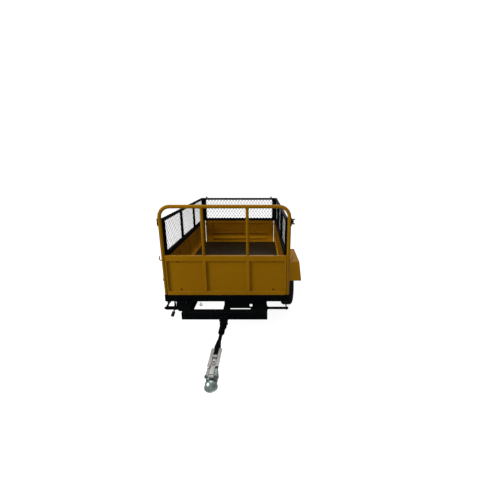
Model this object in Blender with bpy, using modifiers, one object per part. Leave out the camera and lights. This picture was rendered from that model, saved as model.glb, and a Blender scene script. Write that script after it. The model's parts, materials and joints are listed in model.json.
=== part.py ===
"""Compact tractor trailer: a hand-tipped steel body with mesh extensions on a single-axle chassis.

Everything is in metres, +Z up, with the ground at Z = 0. The coupling points to -Y, and the origin is on the
ground under the middle of the trailer. A moving piece is parented to an empty on its joint's axis.
"""

import math

import bmesh
import bpy
from mathutils import Matrix, Vector

# Running clearances
GAP = 0.0003
BORE_GAP = 0.0003

# Body
BODY_LENGTH = 1.600
BODY_WIDTH = 1.026
BOARD_HEIGHT = 0.3493
BOARD_THICKNESS = 0.025
BOARD_SKIN = 0.0035
BOARD_PRESSING = 0.006
BOARD_RAIL = 0.034
BOARD_END_POST = 0.080
BOARD_POST = 0.035
BOARD_BAYS = 4
FLOOR_THICKNESS = 0.003
FLOOR_RISE = 0.048
FLOOR_EDGE = 0.0025
HEADBOARD_THICKNESS = 0.030
HEADBOARD_RIB = 0.030
HEADBOARD_RECESS = 0.018
HEADBOARD_STILE = 0.010
HEADBOARD_TOP_RAIL = 0.046
HEADBOARD_FOOT_RAIL = 0.032
PANEL_SKIN = 0.003
POST_X = 0.181

# Loop guard over the headboard
LOOP_OUTSET = 0.020
LOOP_TUBE = 0.015
LOOP_TOP = 1.269
LOOP_CORNER = 0.100
LOOP_POST_TUBE = 0.0125
HOOK_DROP = 0.042
HOOK_REACH = 0.032
CLAMP_BOLT_LEFT = 0.020
CLAMP_BOLT_RIGHT = 0.034

# Mesh extensions
MESH_TOP = 1.158
MESH_TUBE = 0.022
MESH_BAYS = 3
MESH_STRAP = 0.003
MESH_STRAP_DROP = 0.017
REAR_STILE = 0.040
REAR_TOP_RAIL = 0.025
REAR_FOOT_RAIL = 0.034
NET_THICKNESS = 0.003
NET_STRAND = 0.006
NET_PITCH = 0.130
NET_ROW = 0.150

# Sub-frame under the body
SUBFRAME_HEIGHT = 0.061
SUBFRAME_WALL = 0.004
FRONT_SOLID_END = 0.063
BEAM_DEPTH = 0.050
BEARER_WIDTH = 0.040
BEARER_HEIGHT = 0.050

# Chassis
RAIL_TOP = 0.439
RAIL_HEIGHT = 0.080
RAIL_WIDTH = 0.050
RAIL_WALL = 0.004
CHASSIS_WIDTH = 0.684
CROSS_BEAM = 0.060
BEAM_LEAD = 0.1925
ANCHOR_SETBACK = 0.165
AXLE_SETBACK = 0.837
PIVOT_SETBACK = 0.130
PIVOT_PIN = 0.010
PIVOT_EAR = 0.028
EAR_THICKNESS = 0.011
BOSS_STEP = 0.0005
REST_GAP = 0.0005
PLATE_HOLE = 0.0135
HOLE_INSET = 0.087
HOLE_FALL = 0.0415
PLATE_HEIGHT = 0.069
PLATE_SHEET = 0.005
PLATE_SETBACK = 0.0105
CORNER_REACH = 0.040

# Drawbar and coupling
DRAWBAR_REACH = 0.876
DRAWBAR_TUBE = 0.050
DRAWBAR_WALL = 0.004
SWIVEL_Z = 0.385
SHANK = 0.0125
HOUSING = 0.023
HOUSING_LENGTH = 0.095
SPIGOT_LENGTH = 0.075
NECK_LENGTH = 0.097
BLOCK_WIDTH = 0.042
BLOCK_LENGTH = 0.098
BLOCK_TAPER = 0.080
TONGUE_WIDTH = 0.029
TONGUE_HEIGHT = 0.027
TONGUE_LENGTH = 0.055
COUPLING_LENGTH = 0.291
COUPLING_WIDTH = 0.069
TROUGH_WALL = 0.004
HEAD_LENGTH = 0.122
HEAD_WIDTH = 0.064
BALL = 0.0253
PIVOT_BACK = 0.020
PIVOT_DROP = 0.003
BALL_Z = 0.339
LIP = 0.0395
BOLT = 0.005
BOLT_DROP = 0.0045

# Wheels
WHEEL_RADIUS = 0.265
TYRE_WIDTH = 0.130
TYRE_SKIN = 0.010
RIM_RADIUS = 0.152
TRACK = 1.176
STUB = 0.015
AXLE_BEAM = 0.050
HUB_BOSS = 0.033
HUB_FLANGE = 0.065
WHEEL_NUTS = 4
NUT_CIRCLE = 0.050

# Mudguards
GUARD_TOP = 0.594
GUARD_FOOT = 0.452
GUARD_FLAT = 0.483
GUARD_LENGTH = 0.828
GUARD_OUTER = 0.700
GUARD_SHEET = 0.004

# Tailgate
GATE_POST = 0.013
GATE_SLACK_LEFT = 0.0095
GATE_SLACK_RIGHT = 0.0045
TAILGATE_THICKNESS = 0.030
TAILGATE_STILE = 0.087
PANEL_DEPTH = 0.012
SWAGE_RISE = 0.097
SWAGE_HEIGHT = 0.056
SWAGE_DEPTH = 0.012
HINGE_X = 0.310
HINGE_RADIUS = 0.009
HINGE_RISE = 0.0093
HINGE_PIN = 0.004
KNUCKLE = 0.023
LUG = 0.008

# Places that follow from the sizes above. Y runs back from the coupling's nose.
HINGE_STANDOFF = HINGE_RADIUS + 0.0005
REAR_OVERHANG = HINGE_STANDOFF + HINGE_RADIUS
TOTAL_LENGTH = DRAWBAR_REACH + BODY_LENGTH + REAR_OVERHANG
NOSE_Y = -TOTAL_LENGTH / 2
FRONT_Y = NOSE_Y + DRAWBAR_REACH
TAIL_Y = FRONT_Y + BODY_LENGTH
INNER_Y = FRONT_Y + HEADBOARD_THICKNESS + GAP
SIDE_X = BODY_WIDTH / 2
INNER_X = SIDE_X - BOARD_THICKNESS
LOOP_X = SIDE_X + LOOP_OUTSET
LEG_X = LOOP_X - LOOP_TUBE
LEG_Y = FRONT_Y + HEADBOARD_THICKNESS / 2
RAIL_OUTER = CHASSIS_WIDTH / 2
RAIL_INNER = RAIL_OUTER - RAIL_WIDTH
RAIL_BOTTOM = RAIL_TOP - RAIL_HEIGHT
BEAM_Y = FRONT_Y - BEAM_LEAD
BEAM_BOTTOM = RAIL_TOP - CROSS_BEAM
ANCHOR_Y = FRONT_Y + ANCHOR_SETBACK
AXLE_Y = FRONT_Y + AXLE_SETBACK
AXLE_TOP = WHEEL_RADIUS + AXLE_BEAM / 2
PIVOT_Y = AXLE_Y + PIVOT_SETBACK
PIVOT_Z = RAIL_TOP - RAIL_HEIGHT / 2
SUB_BOTTOM = RAIL_TOP + REST_GAP
SUB_TOP = SUB_BOTTOM + SUBFRAME_HEIGHT
FLOOR_BOTTOM = SUB_TOP + GAP
FLOOR_TOP = FLOOR_BOTTOM + FLOOR_RISE + FLOOR_THICKNESS
BOARD_FOOT = SUB_TOP + GAP
BOARD_TOP = BOARD_FOOT + BOARD_HEIGHT
MESH_FOOT = BOARD_TOP + GAP
TROUGH_REAR = NOSE_Y + COUPLING_LENGTH
HEAD_REAR = NOSE_Y + HEAD_LENGTH
BALL_Y = NOSE_Y + LIP
HANDLE_Y = BALL_Y + PIVOT_BACK
HANDLE_Z = SWIVEL_Z - PIVOT_DROP
BLOCK_REAR = TROUGH_REAR + BLOCK_LENGTH + 0.003
HOUSING_FRONT = BLOCK_REAR + NECK_LENGTH
TUBE_FRONT = HOUSING_FRONT + HOUSING_LENGTH
WHEEL_X = TRACK / 2
HINGE_Y = TAIL_Y + HINGE_STANDOFF
HINGE_Z = BOARD_FOOT + HINGE_RISE
GATE_LEFT = -(INNER_X - GATE_POST - GATE_SLACK_LEFT)
GATE_RIGHT = INNER_X - GATE_POST - GATE_SLACK_RIGHT

# The outriggers in front of the body, and the catch on the left one
OUTRIGGER_Y = FRONT_Y - 0.0575
OUTRIGGER_Z = RAIL_TOP - 0.030
OUTRIGGER_BAR = 0.011
OUTRIGGER_REACH = SIDE_X + 0.0075
PAD_THICKNESS = 0.009
CATCH_X = 0.081 - SIDE_X
CATCH_HUB = 0.012
CATCH_SWING = 25.0
CATCH_SLOPE = 16.0
GRIP_END = 0.089
BRACKET_SHEET = 0.006
BRACKET_RISE = 0.031
KEEPER_TOP = SUB_BOTTOM + 0.0145
KEEPER_REACH = 0.014

# Tailgate latches and the drop pins of the rear mesh
LATCH_Z = BOARD_TOP - 0.0461
LATCH_SETBACK = 0.050
LATCH_SWING = 110.0
LATCH_PLATE = 0.005
LATCH_HUB = 0.013
STUD = 0.006
STRIKER = 0.012
STRIKER_START = SIDE_X - 0.073
PIN_X = INNER_X - 0.058
PIN_SETBACK = 0.042
PIN_RADIUS = 0.005
PIN_TRAVEL = 0.008
PIN_TAB = 0.005

SIDES = {"left": -1, "right": 1}

# Plate directions: local x, y and z in the world, as columns
ACROSS = Matrix(((0, 0, 1), (1, 0, 0), (0, 1, 0))).to_4x4()
FACING = Matrix(((1, 0, 0), (0, 0, -1), (0, 1, 0))).to_4x4()


def clear_scene():
    for thing in list(bpy.data.objects):
        bpy.data.objects.remove(thing)


def collection(name):
    made = bpy.data.collections.new(name)
    bpy.context.scene.collection.children.link(made)
    return made


def finish(name, colour, roughness, metallic=0.0):
    made = bpy.data.materials.new(name)
    made.use_nodes = True
    shader = made.node_tree.nodes["Principled BSDF"]
    shader.inputs["Base Color"].default_value = (*colour, 1.0)
    shader.inputs["Roughness"].default_value = roughness
    shader.inputs["Metallic"].default_value = metallic
    made.diffuse_color = (*colour, 1.0)
    return made


clear_scene()
PARTS = collection("compact_tractor_trailer")
CUTTERS = collection("cutters")
CUTTERS.hide_render = True

AMBER = finish("amber_paint", (0.42, 0.20, 0.012), 0.38)
BLACK = finish("black_paint", (0.018, 0.020, 0.023), 0.45)
ZINC = finish("zinc_plate", (0.52, 0.52, 0.50), 0.35, 1.0)
CAST = finish("cast_head", (0.36, 0.42, 0.41), 0.40, 1.0)
STEEL = finish("bright_steel", (0.55, 0.55, 0.55), 0.30, 1.0)
WIRE = finish("mesh_wire", (0.45, 0.46, 0.44), 0.40, 1.0)
TYRE = finish("tyre_rubber", (0.018, 0.018, 0.018), 0.85)
PLASTIC = finish("black_plastic", (0.02, 0.02, 0.022), 0.55)


def keep(name, form, paint=None):
    """Stores a bmesh as an object: a part when it has a material, a helper when it hasn't."""
    mesh = bpy.data.meshes.new(name)
    form.to_mesh(mesh)
    form.free()
    made = bpy.data.objects.new(name, mesh)
    return dress(made, paint)


def dress(made, paint):
    if paint is None:
        CUTTERS.objects.link(made)
        made.hide_render = True
        made.display_type = "WIRE"
    else:
        PARTS.objects.link(made)
        made.data.materials.append(paint)
    return made


def box(name, low, high, paint=None):
    """A block between two opposite corners, given in any order."""
    spans = [sorted(pair) for pair in zip(low, high)]
    form = bmesh.new()
    bmesh.ops.create_cube(form, size=1.0)
    for corner in form.verts:
        corner.co = [span[1] if along > 0 else span[0] for along, span in zip(corner.co, spans)]
    return keep(name, form, paint)


def rod(name, start, end, radius, paint=None, sides=16):
    """A round bar between two points. With six sides it is a hexagon of that corner radius."""
    start, end = Vector(start), Vector(end)
    axis = end - start
    form = bmesh.new()
    place = Matrix.Translation((start + end) / 2) @ axis.to_track_quat("Z", "Y").to_matrix().to_4x4()
    bmesh.ops.create_cone(
        form, cap_ends=True, segments=sides, radius1=radius, radius2=radius, depth=axis.length, matrix=place
    )
    made = keep(name, form, paint)
    smooth(made)
    return made


def bar(name, reach, at, radius, paint=None, sides=16):
    """A round bar along X between two reaches, at one y and z."""
    return rod(name, (reach[0], *at), (reach[1], *at), radius, paint, sides)


def smooth(made):
    made.data.shade_smooth()
    made.data.set_sharp_from_angle(angle=math.radians(35))


def turned(name, profile, centre, direction, paint=None, steps=24, ring=False):
    """A turned piece. Profile rows are (radius, distance along the direction), top to bottom outside."""
    edges = [(i, i + 1) for i in range(len(profile) - 1)]
    if ring:
        edges.append((len(profile) - 1, 0))
    mesh = bpy.data.meshes.new(name)
    mesh.from_pydata([(radius, 0.0, along) for radius, along in profile], edges, [])
    made = dress(bpy.data.objects.new(name, mesh), paint)
    made.location = centre
    made.rotation_euler = Vector(direction).to_track_quat("Z", "Y").to_euler()
    turn = made.modifiers.new("Turn", "SCREW")
    turn.steps = turn.render_steps = steps
    turn.use_merge_vertices = True
    turn.merge_threshold = 0.00001
    turn.use_smooth_shade = True
    return made


def plate(name, outline, thickness, place, paint=None, holes=()):
    """A flat outline with holes, extruded to its thickness about the plane that place gives."""
    curve = bpy.data.curves.new(name, "CURVE")
    curve.dimensions = "2D"
    curve.fill_mode = "BOTH"
    curve.extrude = thickness / 2
    for ring in (outline, *holes):
        spline = curve.splines.new("POLY")
        spline.points.add(len(ring) - 1)
        for point, (x, y) in zip(spline.points, ring):
            point.co = (x, y, 0.0, 1.0)
        spline.use_cyclic_u = True
    return as_mesh(name, curve, place, paint)


def wire(name, points, radius, paint=None, cyclic=False, fineness=3):
    """A bent round bar through the points."""
    curve = bpy.data.curves.new(name, "CURVE")
    curve.dimensions = "3D"
    curve.bevel_depth = radius
    curve.bevel_resolution = fineness
    curve.use_fill_caps = True
    spline = curve.splines.new("POLY")
    spline.points.add(len(points) - 1)
    for point, place in zip(spline.points, points):
        point.co = (*place, 1.0)
    spline.use_cyclic_u = cyclic
    made = as_mesh(name, curve, Matrix.Identity(4), paint)
    smooth(made)
    return made


def as_mesh(name, curve, place, paint):
    """Turns a curve into a closed mesh object, with its caps welded to its sides."""
    guide = bpy.data.objects.new(name + "_guide", curve)
    bpy.context.scene.collection.objects.link(guide)
    guide.matrix_world = place
    bpy.context.view_layer.update()
    graph = bpy.context.evaluated_depsgraph_get()
    mesh = bpy.data.meshes.new_from_object(guide.evaluated_get(graph))
    bpy.data.objects.remove(guide)
    form = bmesh.new()
    form.from_mesh(mesh)
    bmesh.ops.remove_doubles(form, verts=form.verts, dist=0.00001)
    bmesh.ops.recalc_face_normals(form, faces=form.faces)
    form.to_mesh(mesh)
    form.free()
    made = dress(bpy.data.objects.new(name, mesh), paint)
    made.matrix_world = place
    return made


def add(base, *tools):
    for tool in tools:
        combine(base, tool, "UNION")
    return base


def cut(base, *tools):
    for tool in tools:
        combine(base, tool, "DIFFERENCE")
    return base


def combine(base, tool, operation):
    step = base.modifiers.new(operation.title(), "BOOLEAN")
    step.operation = operation
    step.solver = "EXACT"
    step.object = tool


def circle(centre, radius, sides=16, start=0.0):
    step = 2 * math.pi / sides
    return [
        (centre[0] + radius * math.cos(start + i * step), centre[1] + radius * math.sin(start + i * step))
        for i in range(sides)
    ]


def rectangle(low, high):
    return [low, (high[0], low[1]), high, (low[0], high[1])]


def spun(points, degrees):
    """The outline turned about its own origin, counter-clockwise."""
    c, s = math.cos(math.radians(degrees)), math.sin(math.radians(degrees))
    return [(x * c - y * s, x * s + y * c) for x, y in points]


def rounded(corners, radius, steps=6):
    """A path through 3-D corners, with each inner corner on an arc of this radius."""
    path = [Vector(corners[0])]
    for before, corner, after in zip(corners, corners[1:], corners[2:]):
        corner = Vector(corner)
        back = (Vector(before) - corner).normalized()
        ahead = (Vector(after) - corner).normalized()
        half = back.angle(ahead) / 2
        centre = corner + (back + ahead).normalized() * radius / math.sin(half)
        first = corner + back * radius / math.tan(half) - centre
        last = corner + ahead * radius / math.tan(half) - centre
        for i in range(steps + 1):
            path.append(centre + first.slerp(last, i / steps).normalized() * radius)
    path.append(Vector(corners[-1]))
    return path


def strip(points, thickness):
    """The outline of a folded sheet whose outer face follows the points, thickened on their right side."""
    inner = []
    for i, here in enumerate(points):
        normals = []
        for a, b in ((i - 1, i), (i, i + 1)):
            if 0 <= a and b < len(points):
                run = (Vector(points[b]) - Vector(points[a])).normalized()
                normals.append(Vector((run.y, -run.x)))
        bend = sum(normals, Vector((0.0, 0.0))).normalized()
        inner.append(tuple(Vector(here) + bend * thickness / bend.dot(normals[0])))
    return [*points, *reversed(inner)]


def joint(name, centre, parent=None):
    """An empty on a joint's axis. It may ride on another joint's empty."""
    made = bpy.data.objects.new(name, None)
    made.empty_display_size = 0.03
    PARTS.objects.link(made)
    if parent:
        made.parent = parent
        centre = Vector(centre) - Vector(parent["centre"])
        made["centre"] = tuple(centre + Vector(parent["centre"]))
    else:
        made["centre"] = tuple(centre)
    made.location = centre
    return made


def carry(on, *pieces):
    """Parents pieces to a joint's empty and leaves them where they are."""
    for piece in pieces:
        piece.parent = on
        piece.matrix_parent_inverse = Matrix.Translation(-Vector(on["centre"]))


def chassis_frame():
    """Two channel rails joined by the cross-beam and two cross members."""
    frame = rail("chassis_frame", -1, BLACK)
    add(frame, rail("right_rail", 1), cross_beam(), *cross_members())
    half = DRAWBAR_TUBE / 2 + GAP
    low = (-half, BEAM_Y - 0.1, RAIL_BOTTOM - 0.02)
    return cut(frame, box("drawbar_notch", low, (half, ANCHOR_Y + 0.1, SWIVEL_Z + half)))


def rail(name, side, paint=None):
    """A channel rail, open inwards, with a rounded boss for the tipping pin at its rear end."""
    front = BEAM_Y + CROSS_BEAM
    low = (side * RAIL_INNER, front - RAIL_WALL, RAIL_BOTTOM)
    made = box(name, low, (side * RAIL_OUTER, PIVOT_Y, RAIL_TOP), paint)
    low = (side * (RAIL_INNER - 0.01), front + 0.01, RAIL_BOTTOM + RAIL_WALL)
    high = (side * (RAIL_OUTER - RAIL_WALL), PIVOT_Y - RAIL_HEIGHT / 2, RAIL_TOP - RAIL_WALL)
    cut(made, box(name + "_channel", low, high))
    at, radius = (PIVOT_Y, PIVOT_Z), RAIL_HEIGHT / 2 - BOSS_STEP
    reach = [side * x for x in (RAIL_INNER + BOSS_STEP, RAIL_OUTER - BOSS_STEP)]
    add(made, bar(name + "_boss", reach, at, radius, sides=24))
    through = [side * x for x in (RAIL_INNER - 0.01, RAIL_OUTER + 0.01)]
    return cut(made, bar(name + "_bore", through, at, PIVOT_PIN + BORE_GAP))


def cross_beam():
    made = box("cross_beam", (-RAIL_OUTER, BEAM_Y, BEAM_BOTTOM), (RAIL_OUTER, BEAM_Y + CROSS_BEAM, RAIL_TOP))
    inset = RAIL_WALL
    cut(
        made,
        box(
            "cross_beam_bore",
            (-RAIL_OUTER - 0.01, BEAM_Y + inset, BEAM_BOTTOM + inset),
            (RAIL_OUTER + 0.01, BEAM_Y + CROSS_BEAM - inset, RAIL_TOP - inset),
        ),
    )
    return made


def cross_members():
    """Two channels between the rails, open downwards: one holds the drawbar's rear end."""
    made = []
    for name, start in (("anchor_member", ANCHOR_Y), ("rear_member", PIVOT_Y - 0.11)):
        low, high = RAIL_BOTTOM + RAIL_WALL / 2, RAIL_TOP - RAIL_WALL / 2
        reach = RAIL_OUTER - RAIL_WALL / 2
        member = box(name, (-reach, start, low), (reach, start + CROSS_BEAM, high))
        inset = (RAIL_INNER - 0.004, start + RAIL_WALL)
        top = (RAIL_INNER - 0.004, start + CROSS_BEAM - RAIL_WALL, high - RAIL_WALL)
        made.append(cut(member, box(name + "_hollow", (-inset[0], inset[1], low - 0.01), top)))
    return made


def hole_plate():
    """The plate from the drawbar to the right rail, with its round hole."""
    half = DRAWBAR_TUBE / 2 + GAP
    top, low, seat = RAIL_TOP - 0.0008, RAIL_TOP - PLATE_HEIGHT, SWIVEL_Z + half
    reach = RAIL_INNER - GAP
    outline = [(-half, top), (-half, seat), (half, seat), (half, low), (reach, low), (reach, top)]
    hole = circle((RAIL_INNER - HOLE_INSET, RAIL_TOP - HOLE_FALL), PLATE_HOLE)
    place = Matrix.Translation((0, FRONT_Y + PLATE_SETBACK, 0)) @ FACING
    return plate("hole_plate", outline, PLATE_SHEET, place, BLACK, [hole])


def corner_plate():
    """The flat plate in the corner between the cross-beam and the right rail."""
    rear = BEAM_Y + CROSS_BEAM
    low = (RAIL_INNER - HOLE_INSET, rear + GAP, RAIL_TOP - 0.0075)
    return box("corner_plate", low, (RAIL_INNER - GAP, rear + CORNER_REACH, RAIL_TOP - 0.0035), BLACK)


def drawbar_tube():
    """The square drawbar tube, through the cross-beam to the anchor member, with gusset and lock bolts."""
    half, z = DRAWBAR_TUBE / 2, SWIVEL_Z
    rear = ANCHOR_Y + CROSS_BEAM
    made = box("drawbar_tube", (-half, TUBE_FRONT, z - half), (half, rear, z + half), BLACK)
    left, right = (0.002 - half, -half - 0.014), (half - 0.002, half + 0.010)
    corner = [(half - 0.002, BEAM_Y - GAP), (half - 0.002, BEAM_Y - 0.034), (half + 0.028, BEAM_Y - GAP)]
    add(
        made,
        bar("lock_bolt_left", left, (BEAM_Y - 0.025, z), 0.009, sides=6),
        bar("lock_bolt_right", right, (BEAM_Y - 0.070, z), 0.009, sides=6),
        plate("gusset", corner, 0.006, Matrix.Translation((0, 0, z + 0.010))),
    )
    bore = half - DRAWBAR_WALL
    return cut(made, box("drawbar_bore", (-bore, TUBE_FRONT - 0.01, z - bore), (bore, rear + 0.01, z + bore)))


def swivel_housing():
    """The round housing at the tube's front end. Its spigot stands inside the tube."""
    spigot = DRAWBAR_TUBE / 2 - DRAWBAR_WALL - GAP
    bore = SHANK + BORE_GAP
    profile = [
        (HOUSING - 0.002, 0.0),
        (HOUSING, -0.002),
        (HOUSING, GAP - HOUSING_LENGTH),
        (spigot, GAP - HOUSING_LENGTH),
        (spigot, -HOUSING_LENGTH - SPIGOT_LENGTH),
        (bore, -HOUSING_LENGTH - SPIGOT_LENGTH),
        (bore, 0.0),
    ]
    return turned("swivel_housing", profile, (0, HOUSING_FRONT, SWIVEL_Z), (0, -1, 0), BLACK, ring=True)


def axle():
    half = AXLE_BEAM / 2
    reach = WHEEL_X - 0.090
    low = (-reach, AXLE_Y - half, WHEEL_RADIUS - half)
    made = box("axle_beam", low, (reach, AXLE_Y + half, AXLE_TOP), BLACK)
    for name, side in SIDES.items():
        ends = (side * (reach - 0.005), side * (WHEEL_X + 0.020))
        add(made, bar(f"stub_{name}", ends, (AXLE_Y, WHEEL_RADIUS), STUB))
    return made


def axle_bracket(name, side):
    """A window frame of plate between rail and axle, with cheeks down both sides of the beam."""
    x = [side * (RAIL_INNER + 0.003), side * (RAIL_OUTER - 0.003)]
    half = 0.045
    low, high = AXLE_TOP + GAP, RAIL_BOTTOM - GAP
    made = box(f"axle_bracket_{name}", (x[0], AXLE_Y - half, low), (x[1], AXLE_Y + half, high), BLACK)
    cheek = AXLE_BEAM / 2 + GAP
    for end, sign in (("front", -1), ("rear", 1)):
        start = (x[0], AXLE_Y + sign * cheek, low - 0.035)
        add(made, box(f"cheek_{name}_{end}", start, (x[1], AXLE_Y + sign * (cheek + 0.008), low + 0.005)))
    window = [(side * (RAIL_INNER - 0.01), AXLE_Y - 0.033, low + 0.012)]
    window.append((side * (RAIL_OUTER + 0.01), AXLE_Y + 0.033, high - 0.012))
    return cut(made, box(f"bracket_window_{name}", *window))


def outrigger(name, side):
    """The bar from rail to body edge, with the bracket that carries the rest pad at its outer end."""
    y, z = OUTRIGGER_Y, OUTRIGGER_Z
    start, seat = RAIL_OUTER + GAP, SUB_BOTTOM - 2 * GAP - PAD_THICKNESS
    reach = (side * (start + 0.001), side * OUTRIGGER_REACH)
    made = bar(f"outrigger_{name}", reach, (y, z), OUTRIGGER_BAR, BLACK)
    outline = [
        (y - 0.016, z),
        (y - 0.008, z - 0.014),
        (y + 0.012, z - 0.014),
        (FRONT_Y + 0.040, seat - 0.012),
        (FRONT_Y + 0.042, seat),
        (FRONT_Y + 0.002, seat),
        (y - 0.002, z + 0.017),
        (y - 0.012, z + 0.012),
    ]
    middle = Matrix.Translation((side * (SIDE_X - 0.008), 0, 0)) @ ACROSS
    web = plate(f"rest_web_{name}", outline, 0.006, middle)
    low = (side * INNER_X, FRONT_Y + 0.003, seat - 0.004)
    table = box(f"rest_table_{name}", low, (side * (SIDE_X + 0.006), FRONT_Y + 0.041, seat))
    foot = bar(f"bar_foot_{name}", (side * start, side * (start + 0.005)), (y, z), 0.022)
    add(made, web, table, foot)
    return add(made, catch_bracket(), bar_sleeve()) if side < 0 else made


def catch_bracket():
    """The upright plate between the left rail and the catch's hub, in front of the body's front beam."""
    near, far = -(RAIL_OUTER + GAP + 0.0005), CATCH_X + CATCH_HUB + 0.0025
    top, low, z = RAIL_TOP + BRACKET_RISE, OUTRIGGER_Z - 0.030, OUTRIGGER_Z - 0.012
    outline = [(near, top), (near, low), (far + 0.018, low), (far, z), (far, top)]
    return plate("catch_bracket", outline, BRACKET_SHEET, Matrix.Translation((0, OUTRIGGER_Y, 0)) @ FACING)


def bar_sleeve():
    """The thicker end of the left bar, outside the catch."""
    reach = (0.009 - SIDE_X, CATCH_X - CATCH_HUB - 0.004)
    return bar("bar_sleeve", reach, (OUTRIGGER_Y, OUTRIGGER_Z), 0.0155)


def rest_pad(name, side):
    top = SUB_BOTTOM - GAP
    low = (side * (INNER_X + 0.001), FRONT_Y + 0.004, top - PAD_THICKNESS)
    return box(f"rest_pad_{name}", low, (side * (SIDE_X + 0.005), FRONT_Y + 0.040, top), TYRE)


def pivot_pin(name, side):
    """The headed pin through the rail's boss and the body's ear."""
    at, head = (PIVOT_Y, PIVOT_Z), RAIL_OUTER + EAR_THICKNESS + 3 * GAP
    end = head + 0.008
    made = bar(f"pivot_pin_{name}", (side * (RAIL_INNER - 0.006), side * (end - 0.001)), at, PIVOT_PIN, STEEL)
    return add(made, bar(f"pin_head_{name}", (side * head, side * end), at, 0.016, sides=6))


def swivel_shank():
    """The round shank, the block that it widens to and the tongue that lies in the trough."""
    rear = TUBE_FRONT + SPIGOT_LENGTH + 0.026
    made = rod("swivel_shank", (0, BLOCK_REAR - 0.010, SWIVEL_Z), (0, rear, SWIVEL_Z), SHANK, BLACK, sides=24)
    wide, slim, root = BLOCK_WIDTH / 2, TONGUE_WIDTH / 2, SHANK - 0.001
    front, wing = BLOCK_REAR - BLOCK_LENGTH, BLOCK_REAR - BLOCK_TAPER
    tip = TROUGH_REAR - TONGUE_LENGTH
    half = [(slim, tip), (slim, front), (wide, front + 0.004), (wide, wing), (root, BLOCK_REAR)]
    outline = half + [(-x, y) for x, y in reversed(half)]
    add(made, plate("shank_block", outline, TONGUE_HEIGHT, Matrix.Translation((0, 0, SWIVEL_Z))))
    return cut(made, *(cross_bore(f"tongue_bore_{i}", y) for i, y in enumerate(tongue_bolts())))


def tongue_bolts():
    return [TROUGH_REAR - 0.015, TROUGH_REAR - 0.038]


def tail_bolt():
    return HEAD_REAR + 0.020


def cross_bore(name, y):
    return bar(name, (-0.06, 0.06), (y, SWIVEL_Z - BOLT_DROP), BOLT + BORE_GAP)


def shank_nut():
    """The nut that keeps the shank in its housing. It turns with the shank inside the drawbar tube."""
    start = TUBE_FRONT + SPIGOT_LENGTH + 0.0005
    ends = [(0, start, SWIVEL_Z), (0, start + 0.018, SWIVEL_Z)]
    made = rod("shank_nut", *ends, 0.0205, STEEL, sides=6)
    through = [(0, start - 0.01, SWIVEL_Z), (0, start + 0.03, SWIVEL_Z)]
    return cut(made, rod("nut_bore", *through, SHANK + BORE_GAP))


def coupling_trough():
    """The plated trough: a hat section with its mouth up, which holds the tongue and the head's tail."""
    wide, slim = COUPLING_WIDTH / 2, TONGUE_WIDTH / 2 + GAP
    outer = slim + TROUGH_WALL
    top, floor = TONGUE_HEIGHT / 2 + 0.0035, -TONGUE_HEIGHT / 2 - 0.0005
    low, lip = floor - TROUGH_WALL, top - TROUGH_WALL
    half = [(outer, low), (outer, lip), (wide, lip), (wide, top), (slim, top), (slim, floor)]
    outline = half + [(-x, z) for x, z in reversed(half)]
    front = HEAD_REAR + GAP
    middle = Matrix.Translation((0, (front + TROUGH_REAR) / 2, SWIVEL_Z)) @ FACING
    made = plate("coupling_trough", outline, TROUGH_REAR - front, middle, ZINC)
    bolts = [*tongue_bolts(), tail_bolt()]
    return cut(made, *(cross_bore(f"trough_bore_{i}", y) for i, y in enumerate(bolts)))


def coupling_bolt(name, y):
    at, face = (y, SWIVEL_Z - BOLT_DROP), TONGUE_WIDTH / 2 + TROUGH_WALL + 2 * GAP
    made = bar(name, (-face - 0.003, face + 0.011), at, BOLT, STEEL)
    head = bar(name + "_head", (-face - 0.0065, -face), at, 0.0095, sides=6)
    nut = bar(name + "_nut", (face, face + 0.008), at, 0.0095, sides=6)
    return add(made, head, nut)


def coupling_head():
    """The cast head: a dome with the ball socket, cheeks for the handle's pivot and a tail in the trough."""
    half, tail = HEAD_WIDTH / 2, TONGUE_WIDTH / 2
    foot = BALL_Z - 0.015
    dome = [(0.0, 0.0365), (0.0145, 0.0335), (0.0262, 0.0255), (0.0338, 0.0140), (0.0362, 0.0)]
    dome += [(0.0362, -0.0085), (LIP, -0.0095), (LIP, -0.015), (0.0, -0.015)]
    made = turned("coupling_head", dome, (0, BALL_Y, BALL_Z), (0, 0, 1), CAST, steps=24)
    low = (-tail, HEAD_REAR - 0.005, SWIVEL_Z - TONGUE_HEIGHT / 2)
    add(
        made,
        box("cheeks", (-half, BALL_Y + 0.018, foot + 0.004), (half, HEAD_REAR, SWIVEL_Z + 0.008)),
        box("tail", low, (tail, HEAD_REAR + 0.035, SWIVEL_Z + 0.006)),
    )
    slot, above = 0.0163, SWIVEL_Z + 0.03
    cut(
        made,
        turned("socket", socket_profile(0.02), (0, BALL_Y, BALL_Z), (0, 0, 1), steps=24),
        box("handle_slot", (-slot, HANDLE_Y - 0.0125, HANDLE_Z - 0.012), (slot, HEAD_REAR - 0.012, above)),
        box("handle_path", (-slot, HEAD_REAR - 0.02, SWIVEL_Z + 0.001), (slot, HEAD_REAR + 0.04, above)),
        box("jaw_pocket", (-0.0125, BALL_Y, foot - 0.01), (0.0125, BALL_Y + 0.053, BALL_Z + 0.008)),
        bar("pivot_bore", (-0.06, 0.06), (HANDLE_Y, HANDLE_Z), BOLT + BORE_GAP),
        cross_bore("tail_bore", tail_bolt()),
    )
    return made


def socket_profile(depth, extra=0.0):
    """The space for a ball and its way out downwards, about the ball's centre."""
    r = BALL + extra
    rows = [(r * math.sin(math.radians(a)), r * math.cos(math.radians(a))) for a in (0, 22, 44, 66, 90)]
    return [*rows, (r, -depth), (0.0, -depth)]


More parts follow.
